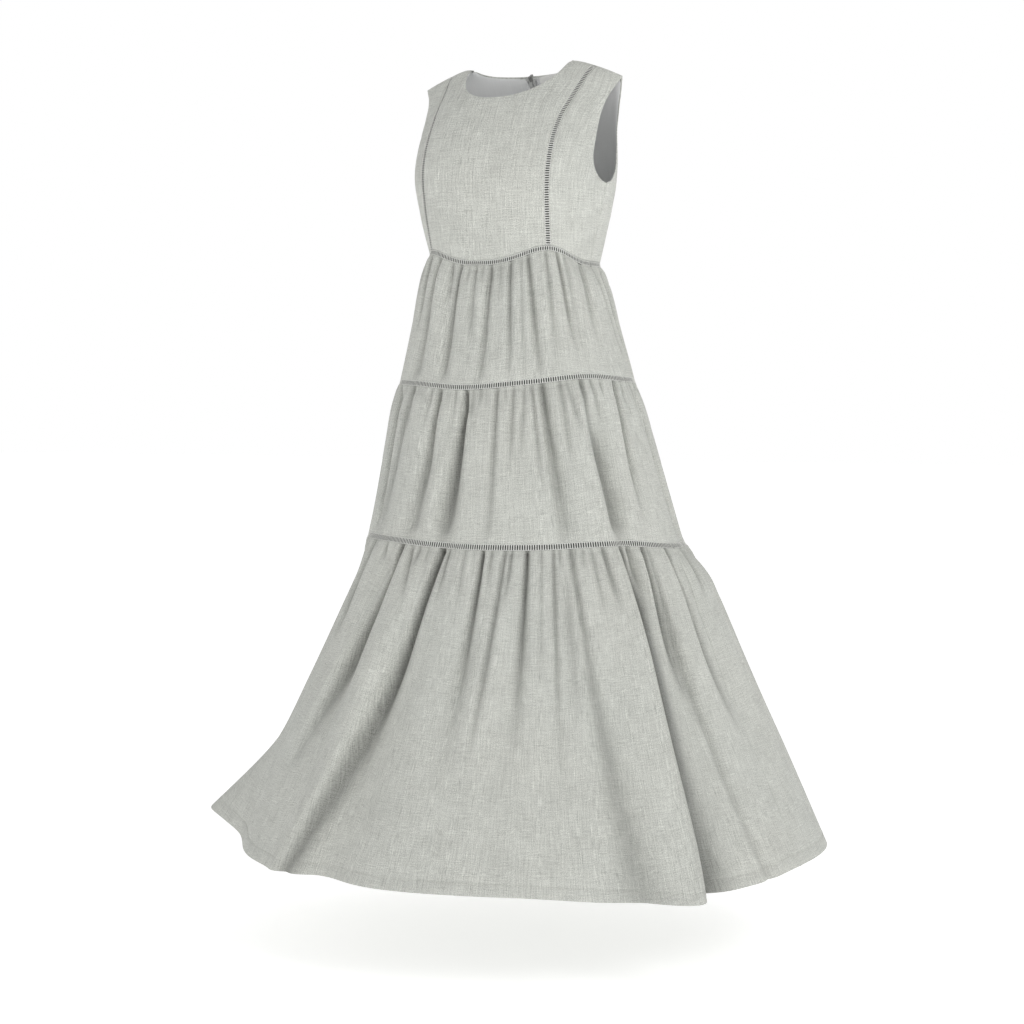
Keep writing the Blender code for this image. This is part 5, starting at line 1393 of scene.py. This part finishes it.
def stitches(name, starts, ends, out, radius, material):
    """Small arched threads from starts to ends."""
    t = np.linspace(0, 1, 5)
    run = unit(ends - starts)
    cross = unit(np.cross(run, out))
    arch = (np.sin(t * math.pi) * STITCH_RISE - STITCH_DIP)[:, None, None] * radius
    path = starts + (ends - starts) * t[:, None, None] + out * arch
    ring = cross[..., None, :] * np.cos(pentagon)[:, None] + out[..., None, :] * np.sin(pentagon)[:, None]
    points = np.moveaxis(path[..., None, :] + ring * radius, 1, 0)
    count = len(starts)
    faces = np.concatenate([tube_faces(5, 5, 25 * k)[:, ::-1] for k in range(count)])
    points = points.reshape(-1, 3)
    piece_from(name, points, faces, points[:, ::2], None, material)
    print(name, count, "stitches")


azimuth = np.linspace(-180, 180, HEM_STITCHES, endpoint=False)
length = 1 / levels_for(skirt_point, azimuth, 2.9 + 0 * azimuth, 1.0)
drop = 3 - HEM_LINE / length
points = skirt_point(azimuth, drop)
normal = outward(skirt_point, azimuth, drop, 3.0)
next_points = skirt_point(azimuth + HEM_STITCH_LONG / GIRTHS[3] * 360, drop)
stitches("hem_stitches", points, next_points, normal, HEM_STITCH_RADIUS, linen)
for end, ribbon_column in (("outer", 2), ("inner", 58)):
    seam = points_on_label[2:-2, ribbon_column]
    ways = ways_off_label[2:-3:2, ribbon_column]
    stitches(f"label_stitches_{end}", seam[:-1:2], seam[1::2], ways, LABEL_STITCH_RADIUS, trim_thread)
print("hem and label sewn")

# %% [markdown]
# ## Floor and light
#
# The dress is shown on white, in even light. One large lamp stands to the front and right, high up, a
# weaker one to the left, and the white surroundings fill the rest. The view is a plain one, so that white
# stays white.

# %% Light the dress
KEY_POWER, FILL_POWER = 42.0, 5.5         # in watts
SURROUNDING = 0.585       # the surroundings' strength as light, where full white is 1
LAMP_AIM = -0.6           # height that both lamps face, about the skirt's second tier
scene = bpy.context.scene
scene.view_settings.view_transform = "Standard"


def white_surroundings():
    """White to look at, and a dimmer white as light on the dress."""
    world = bpy.data.worlds.new("studio")
    world.use_nodes = True
    w = Wiring(world.node_tree)
    glow = world.node_tree.nodes["Background"]
    seen = w.add("ShaderNodeBackground", {"Color": (1, 1, 1, 1), "Strength": 1.0})
    glow.inputs["Color"].default_value = (1, 1, 1, 1)
    glow.inputs["Strength"].default_value = SURROUNDING
    ray = w.add("ShaderNodeLightPath").outputs["Is Camera Ray"]
    mixed = w.add("ShaderNodeMixShader", {0: ray, 1: glow.outputs[0], 2: seen.outputs[0]})
    w.put(world.node_tree.nodes["World Output"].inputs["Surface"], mixed.outputs[0])
    return world


scene.world = white_surroundings()


def lamp(name, place, size, power):
    """A square lamp that faces the dress."""
    light = bpy.data.lights.new(name, "AREA")
    light.energy, light.size = power, size
    made = bpy.data.objects.new(name, light)
    made.location = place
    made.rotation_euler = (Vector((0, 0, LAMP_AIM)) - made.location).to_track_quat("-Z", "Y").to_euler()
    scene.collection.objects.link(made)


lamp("key_light", towards * 3.3 + sideways * 1.9 + Vector((0, 0, 1.1)), 1.3, KEY_POWER)
lamp("left_light", towards * 2.0 - sideways * 2.8 + Vector((0, 0, 0.6)), 2.2, FILL_POWER)

# %% Lay the floor
FLOOR_HEIGHT, FLOOR_SIZE = -1.42, 60
bpy.ops.mesh.primitive_plane_add(size=FLOOR_SIZE, location=(0, 0, FLOOR_HEIGHT))
floor = bpy.context.object
floor.name = "floor"
paper, wiring, shader = new_material("white paper", Roughness=0.9, Emission_Strength=0.55)
shader.inputs["Emission Color"].default_value = (1, 1, 1, 1)
grain = wiring.noise(wiring.add("ShaderNodeTexCoord").outputs["Object"], 300.0)
wiring.put(shader.inputs["Base Color"], wiring.mixed(grain, (0.93, 0.93, 0.93, 1), (0.95, 0.95, 0.95, 1)))
floor.data.materials.append(paper)
